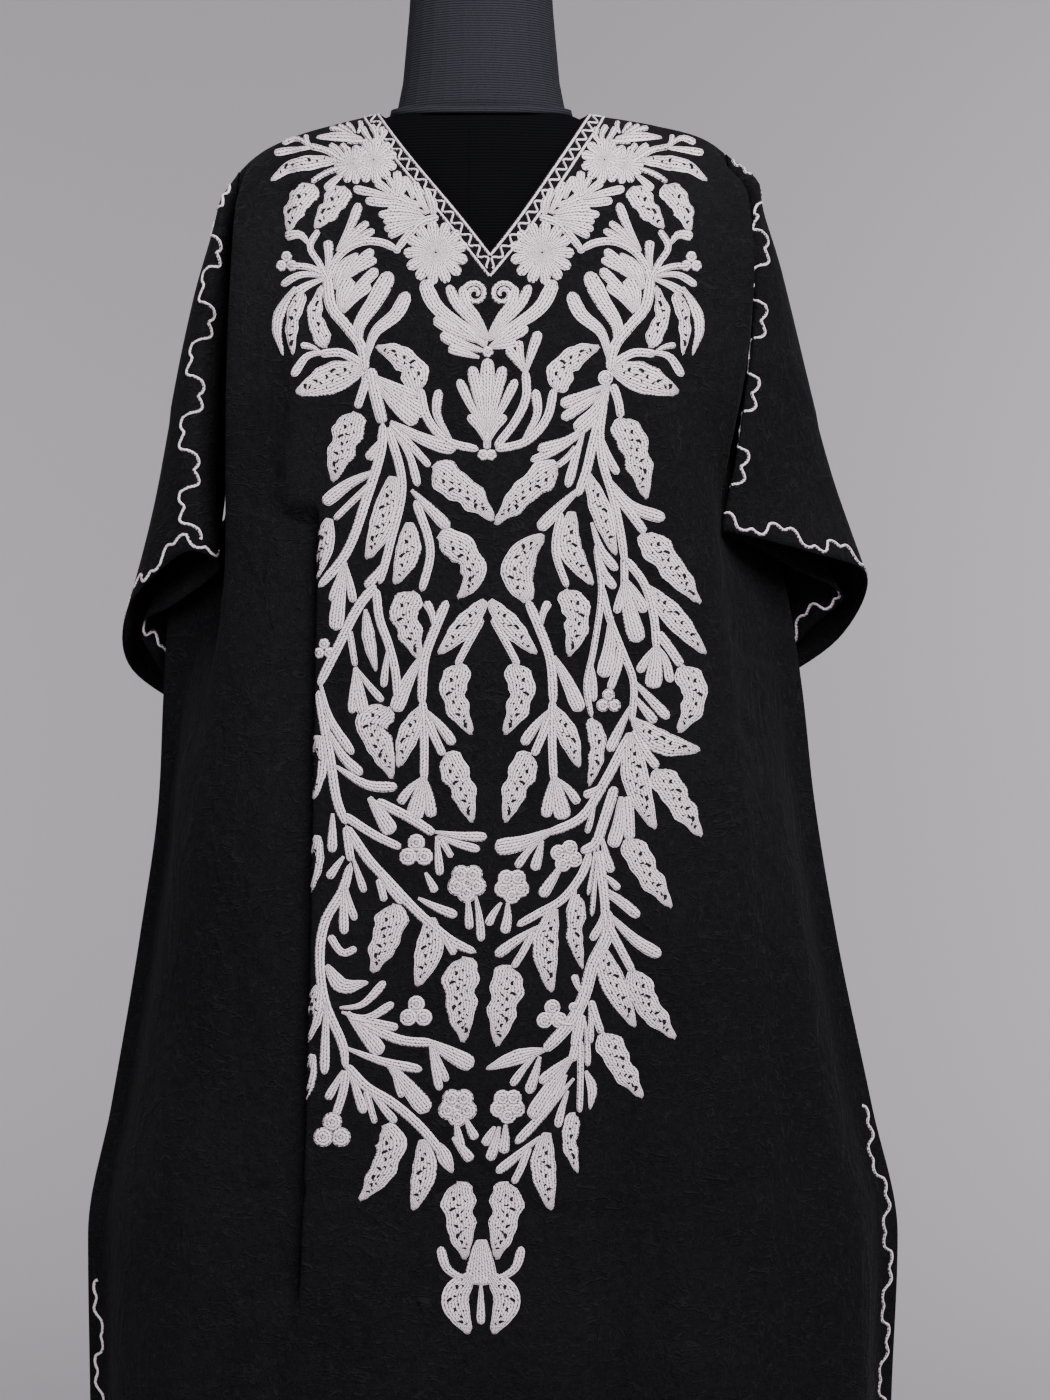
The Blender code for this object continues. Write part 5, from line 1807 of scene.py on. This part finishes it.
    def spiral(self, patches: Patchwork, x: float, y: float, radius: float) -> None:
        """Add a curled tendril."""
        turn = np.linspace(-0.6, 3.4 * np.pi, 18)
        reach = radius * (1 - 0.82 * (turn + 0.6) / (turn[-1] + 0.6))
        points = np.stack([x + np.cos(-turn) * reach, y + np.sin(-turn) * reach], axis=1)
        self.stroke(patches, patches, (STEM, radius * 0.36, *points.ravel()))

    def build(self, thread: bpy.types.Material, eyelet: bpy.types.Material) -> list[bpy.types.Object]:
        """Build the embroidery.

        Args:
            thread: The thread's material.
            eyelet: The material that shows in the eyelets.

        Returns:
            Its pieces.
        """
        patches, eyelets = Patchwork(), Patchwork()
        for self.half, chart in CHARTS:
            for row in chart:
                self.stroke(patches, eyelets, row)
        for self.half, *row in CLUSTERS:
            self.lobed(patches, *row)
        for self.half, *row in KNOTS:
            self.knob(patches, *row)
        self.half = Half.BOTH
        for row in ROSETTES:
            self.rosette(patches, *row)
        for row in SPIRALS:
            self.spiral(patches, *row)
        return [patches.piece("front_embroidery", thread, "kaftan_front"),
                eyelets.piece("front_eyelets", eyelet, "kaftan_front")]


def chain_line(patches: Patchwork, places: Array, normals: Array, width: float, height: float) -> None:
    """Add a raised line of chain stitch.

    Args:
        patches: The stitching that it joins.
        places: The places on the cloth that it passes through.
        normals: The cloth's normals there.
        width: How wide the line is.
        height: How far it stands out of the cloth's middle.
    """
    way = np.gradient(places, axis=0)
    way /= np.maximum(np.linalg.norm(way, axis=1), 1e-6)[:, None]
    side = np.cross(normals, way)
    across = np.array((-1.0, -0.6, 0.6, 1.0)) * width / 2
    lifts = np.array((0.25, 0.95, 0.95, 0.25)) * height
    points = places[:, None] + side[:, None] * across[None, :, None] + normals[:, None] * lifts[None, :, None]
    along = np.broadcast_to(lengths_along(places)[:, None], points.shape[:2])
    threads = np.stack([along, across + np.zeros_like(along)], axis=-1)
    patches.add(points, threads, grid_faces(len(places), len(across), True))


@dataclass
class NeckBand:
    """The band round the neck's edge: two chain lines with a wave between them."""

    lines: tuple[float, float] = (2.0, 12.0)
    middle: float = 7.0
    reach: float = 2.9
    wave_length: float = 10.4
    line_width: float = 2.3
    wave_width: float = 1.9
    height: float = 1.5
    step: float = 1.3
    above: float = 0.12
    below: float = 1.3

    def sew(self, patches: Patchwork, chart: PanelChart, face: Face, away: Array, width: float) -> None:
        """Sew one line of the band on both halves of a panel.

        Args:
            patches: The stitching that it joins.
            chart: The panel.
            face: Which panel it is.
            away: How far the line lies from the neck's edge, at even steps along it.
            width: The line's width.
        """
        drop = np.linspace(-self.above, self.below, len(away)) * face.neck_depth
        out = NECK_HALF_WIDTH * (1 - np.sign(drop) * (np.abs(drop) / face.neck_depth) ** face.neck_power)
        way = np.stack([np.gradient(out), np.gradient(drop)], axis=1)
        way /= np.linalg.norm(way, axis=1)[:, None]
        out = out + way[:, 1] * away
        drop = drop - way[:, 0] * away
        inside = (out >= 0) & (drop >= 0.5)
        row = np.interp(drop[inside], chart.drops, np.arange(len(chart.drops)))
        for sign, grid in chart.halves.items():
            places, normals = grid.sample(row, chart.column(sign, row, out[inside]))
            chain_line(patches, places, normals, width, self.height)

    def build(self, patches: Patchwork, charts: dict[Face, PanelChart]) -> None:
        """Sew the band round the neck.

        Args:
            patches: The stitching that it joins.
            charts: The two panels.
        """
        for face, chart in charts.items():
            around = float(np.hypot(NECK_HALF_WIDTH, face.neck_depth)) * (self.above + self.below)
            steps = int(around / self.step)
            along = np.linspace(0, around, steps)
            for away in self.lines:
                self.sew(patches, chart, face, np.full(steps, away), self.line_width)
            wave = np.sin(along / self.wave_length * 2 * np.pi)
            self.sew(patches, chart, face, self.middle + self.reach * wave, self.wave_width)


# One repeat of the wavy line, two lobes to each side: how far along it, and how far to its side
WAVE = ((0.0, 0.0), (0.03, 0.8), (0.11, 1.0), (0.17, 0.85), (0.25, 0.45), (0.33, 0.8), (0.39, 1.0),
        (0.46, 0.7), (0.51, -0.1), (0.56, -0.8), (0.64, -1.0), (0.7, -0.85), (0.76, -0.5), (0.83, -0.85),
        (0.9, -1.0), (0.96, -0.75), (1.0, 0.0))


@dataclass
class WavyLines:
    """The wavy chain line down the sleeves' tops, round their cuffs and down the side slits."""

    repeat: float = 57.0
    reach: float = 8.5
    cuff_reach: float = 5.5
    slit_reach: float = 4.5
    cuff_margin: float = 8.5
    slit_margin: float = 9.0
    left_front_start: float = 905.0
    width: float = 2.5
    height: float = 1.6
    step: float = 1.5

    def wave(self, along: Array) -> Array:
        """Return how far the line lies to its side at lengths along it, as a share of its reach."""
        table = np.array(WAVE)
        return smooth((along / self.repeat) % 1.0, table[:, 0], table[:, 1])

    def steps_along(self, lengths: Array) -> tuple[Array, Array]:
        """Return even lengths along a grid line and where they lie among its points."""
        along = np.arange(0.0, lengths[-1], self.step)
        return along, np.interp(along, lengths, np.arange(len(lengths), dtype=float))

    def sew(self, patches: Patchwork, grid: ClothGrid, row: Array, column: Array) -> None:
        """Sew the line through places on a cloth."""
        chain_line(patches, *grid.sample(row, column), self.width, self.height)

    def down_sleeve(self, patches: Patchwork, sleeve: Sleeve) -> None:
        """Sew the line down a sleeve's top fold."""
        grid = sleeve.grid
        line = sum(sleeve.steps[:sleeve.top_line])
        along, row = self.steps_along(grid.down[:, line])
        sideways = self.wave(along + sleeve.wave_shift) * self.reach
        column = grid.beside(row, np.full(len(row), float(line)), sideways)
        keep = along < along[-1] - self.cuff_margin
        self.sew(patches, grid, row[keep], column[keep])

    def round_cuff(self, patches: Patchwork, sleeve: Sleeve) -> None:
        """Sew the line round a sleeve's cuff."""
        grid = sleeve.grid
        along, column = self.steps_along(grid.across[-1])
        up = -self.cuff_margin - self.wave(along) * self.cuff_reach
        row = grid.below(np.full(len(column), len(grid.points) - LAST_CELL), column, up)
        self.sew(patches, grid, row, column)

    def down_slit(self, patches: Patchwork, chart: PanelChart, starts: dict[int, float]) -> None:
        """Sew the line down a panel's two slit edges, each from its own drop."""
        for sign, grid in chart.halves.items():
            start = int(np.searchsorted(chart.drops, starts[sign]))
            last = grid.points.shape[1] - 1
            along, row = self.steps_along(grid.down[start:, last] - grid.down[start, last])
            row += start
            inward = -self.slit_margin + self.wave(along) * self.slit_reach
            edge = np.full(len(row), grid.points.shape[1] - LAST_CELL)
            self.sew(patches, grid, row, grid.beside(row, edge, inward))

    def build(self, patches: Patchwork, sleeve: Sleeve) -> None:
        """Sew one sleeve's lines."""
        self.down_sleeve(patches, sleeve)
        self.round_cuff(patches, sleeve)


# The neck cover's rolled hem: how far each of its lines stands out of the neck, and how high above its foot
NECK_HEM = ((-0.6, 0.6), (1.6, -1.0), (2.0, 1.2), (1.2, 4.6), (-2.4, 5.6))


@dataclass
class DressForm:
    """The limbless form: its own solids with their looks, the neck cover's hem and the front seam."""

    nodes: dict[str, bpy.types.Object]
    hem_dip: float = 3.0
    hem_segments: int = 96
    seam_x: float = -8.0
    seam_foot: float = 1330.0
    seam_top: float = 1458.0
    seam_step: float = 4.0
    seam_width: float = 1.6
    seam_height: float = 0.5
    ray_start: float = -300.0

    def hem(self, material: bpy.types.Material) -> bpy.types.Object:
        """Build the rolled hem at the foot of the neck's cover."""
        low, high = (np.array(corner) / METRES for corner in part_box("form_neck"))
        half, middle = (high - low) / 2, (high + low) / 2
        turn = np.linspace(0, 2 * np.pi, self.hem_segments, endpoint=False)
        ring = np.stack([np.cos(turn), np.sin(turn)], axis=1)
        rows = []
        for proud, up in NECK_HEM:
            row = np.empty((len(turn), 3))
            row[:, :2] = middle[:2] + ring * (half[:2] + proud)
            row[:, 2] = low[2] + up - self.hem_dip * (ring[:, 1] < 0) * ring[:, 1] ** 2
            rows.append(row)
        patch = Patchwork()
        grid = np.array(rows)
        patch.add(grid, grid[..., :2], grid_faces(len(rows), len(turn), False, closed=True))
        return patch.piece("neck_cover_hem", material, "form_neck")

    def front_seam(self, material: bpy.types.Material) -> bpy.types.Object:
        """Build the seam down the front of the form."""
        torso = self.nodes["form_torso"]
        places = []
        for height in np.arange(self.seam_foot, self.seam_top, self.seam_step):
            start = Vector((self.seam_x, self.ray_start, height)) * METRES
            found, place, _, _ = torso.ray_cast(start, Vector((0.0, 1.0, 0.0)))
            if found:
                places.append(np.array(place) / METRES)
        places = np.array(places)
        normals = np.tile(np.array((0.0, -1.0, 0.0)), (len(places), 1))
        patch = Patchwork()
        chain_line(patch, places, normals, self.seam_width, self.seam_height)
        return patch.piece("form_front_seam", material, "form_torso")

    def build(self) -> None:
        """Dress the form's solids and add the hem and the seam."""
        torso = TORSO_JERSEY.material()
        neck = NECK_JERSEY.material()
        steel = STEEL.material()
        finishes = {"form_torso": torso, "form_neck": neck, "form_pole": steel, "form_base": steel}
        for name, material in finishes.items():
            self.nodes[name].material_slots[0].material = material
            log.info("%s dressed", name)
        self.hem(neck)
        self.front_seam(torso)


@dataclass(frozen=True)
class Lamp:
    """A soft square light: where it hangs and aims and its width, in metres, and its power in watts."""

    name: str
    place: tuple[float, float, float]
    aim: tuple[float, float, float]
    width: float
    power: float

    def build(self) -> None:
        """Add the light to the scene."""
        data = bpy.data.lights.new(self.name, "AREA")
        data.size = self.width
        data.energy = self.power
        lamp = bpy.data.objects.new(self.name, data)
        lamp.location = self.place
        lamp.rotation_euler = (Vector(self.aim) - Vector(self.place)).to_track_quat("-Z", "Y").to_euler()
        bpy.context.scene.collection.objects.link(lamp)


@dataclass
class Studio:
    """A plain pale room, soft lights and the camera, in metres but for the camera's sensor."""

    distance: float = 2.8
    view_height: float = 1.078
    sensor_height: float = 24.0
    wall_behind: float = 3.4
    wall_height: float = 4.5
    sweep: float = 0.9
    sweep_steps: int = 8
    half_width: float = 5.0
    room: Colour = (0.445, 0.415, 0.45, 1.0)
    lamps: tuple[Lamp, ...] = (
        Lamp("key", (0.8, -1.9, 2.6), (0.05, 0.0, 1.45), 1.3, 98.0),
        Lamp("fill", (-1.8, -2.2, 1.9), (0.0, 0.0, 1.25), 1.6, 22.0),
        Lamp("wall_left", (-2.6, 1.8, 1.0), (-0.8, 3.4, 0.9), 1.3, 34.0),
        Lamp("wall_right", (2.5, 2.0, 1.3), (1.1, 3.4, 1.2), 1.0, 46.0),
    )
    daylight: Colour = (0.9, 0.9, 0.95, 1.0)
    daylight_strength: float = 0.25

    def backdrop(self) -> None:
        """Build the floor, which curves up into the wall behind."""
        foot = self.wall_behind - self.sweep
        profile = [(-self.half_width, 0.0), (foot, 0.0)]
        for step in range(1, self.sweep_steps + 1):
            turn = step / self.sweep_steps * np.pi / 2
            profile.append((foot + self.sweep * np.sin(turn), self.sweep - self.sweep * np.cos(turn)))
        profile.append((self.wall_behind, self.wall_height))
        points = [(x, y, z) for y, z in profile for x in (-self.half_width, self.half_width)]
        faces = [(2 * i, 2 * i + 1, 2 * i + 3, 2 * i + 2) for i in range(len(profile) - 1)]
        mesh = bpy.data.meshes.new("backdrop")
        mesh.from_pydata(points, [], faces)
        mesh.shade_smooth()
        nodes = Nodes("pale_wall", {"Base Color": self.room, "Roughness": 0.95})
        mesh.materials.append(nodes.material)
        wall = bpy.data.objects.new("backdrop", mesh)
        bpy.context.scene.collection.objects.link(wall)

    def camera(self) -> None:
        """Add the camera at the photograph's place."""
        data = bpy.data.cameras.new("camera")
        data.sensor_fit = "VERTICAL"
        data.sensor_height = self.sensor_height
        data.lens = self.sensor_height * self.distance / self.view_height
        eye = bpy.data.objects.new("camera", data)
        eye.location = (CAMERA_X * METRES, CAMERA_Y * METRES, CAMERA_HEIGHT * METRES)
        eye.rotation_euler = (np.pi / 2, 0.0, 0.0)
        bpy.context.scene.collection.objects.link(eye)
        bpy.context.scene.camera = eye

    def build(self) -> None:
        """Build the room, the lights and the camera."""
        self.backdrop()
        for lamp in self.lamps:
            lamp.build()
        world = bpy.data.worlds.new("room_light")
        world.use_nodes = True
        background = world.node_tree.nodes["Background"]
        background.inputs["Color"].default_value = self.daylight
        background.inputs["Strength"].default_value = self.daylight_strength
        bpy.context.scene.world = world
        self.camera()


def main(nodes: dict[str, bpy.types.Object]) -> None:
    """Build the kaftan, its stitching, the form and the studio.

    Args:
        nodes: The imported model's nodes by name.
    """
    cotton = CrinkledCotton().material()
    thread = ChainStitch().material()
    panels = {face: BodyPanel(face) for face in Face}
    charts = {face: PanelChart(panel) for face, panel in panels.items()}
    cloth = {face: panel.build(cotton) for face, panel in panels.items()}
    sewing = {Face.FRONT: Embroidery(charts[Face.FRONT]).build(thread, EYELET.material())}
    wavy = WavyLines()
    band = Patchwork()
    NeckBand().build(band, charts)
    wavy.down_slit(band, charts[Face.FRONT], {1: SLIT_DROP, -1: wavy.left_front_start})
    sewing[Face.FRONT].append(band.piece("neck_and_slit_lines", thread, "kaftan_front"))
    slits = Patchwork()
    wavy.down_slit(slits, charts[Face.BACK], {1: SLIT_DROP, -1: SLIT_DROP})
    sewing[Face.BACK] = [slits.piece("back_slit_lines", thread, "kaftan_back")]
    for face, panel in panels.items():
        declare_cloth(panel.halves)
    for sleeve in (Sleeve(RIGHT, RIGHT_SLEEVE, RIGHT_UNDERSEAM_END, "right", wave_shift=21.0),
                   Sleeve(LEFT, LEFT_SLEEVE, LEFT_UNDERSEAM_END, "left", wave_shift=12.0)):
        piece = sleeve.build(cotton)
        lines = Patchwork()
        wavy.build(lines, sleeve)
        sewn = lines.piece(sleeve.name + "_sleeve_lines", thread, "sleeve_" + sleeve.name)
        declare_cloth([sleeve.grid])
    DressForm(nodes).build()
    Studio().build()


if __name__ == "__main__":
    logging.basicConfig(level=logging.INFO, format="%(name)s: %(message)s")
    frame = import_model()
    main(frame["nodes"])
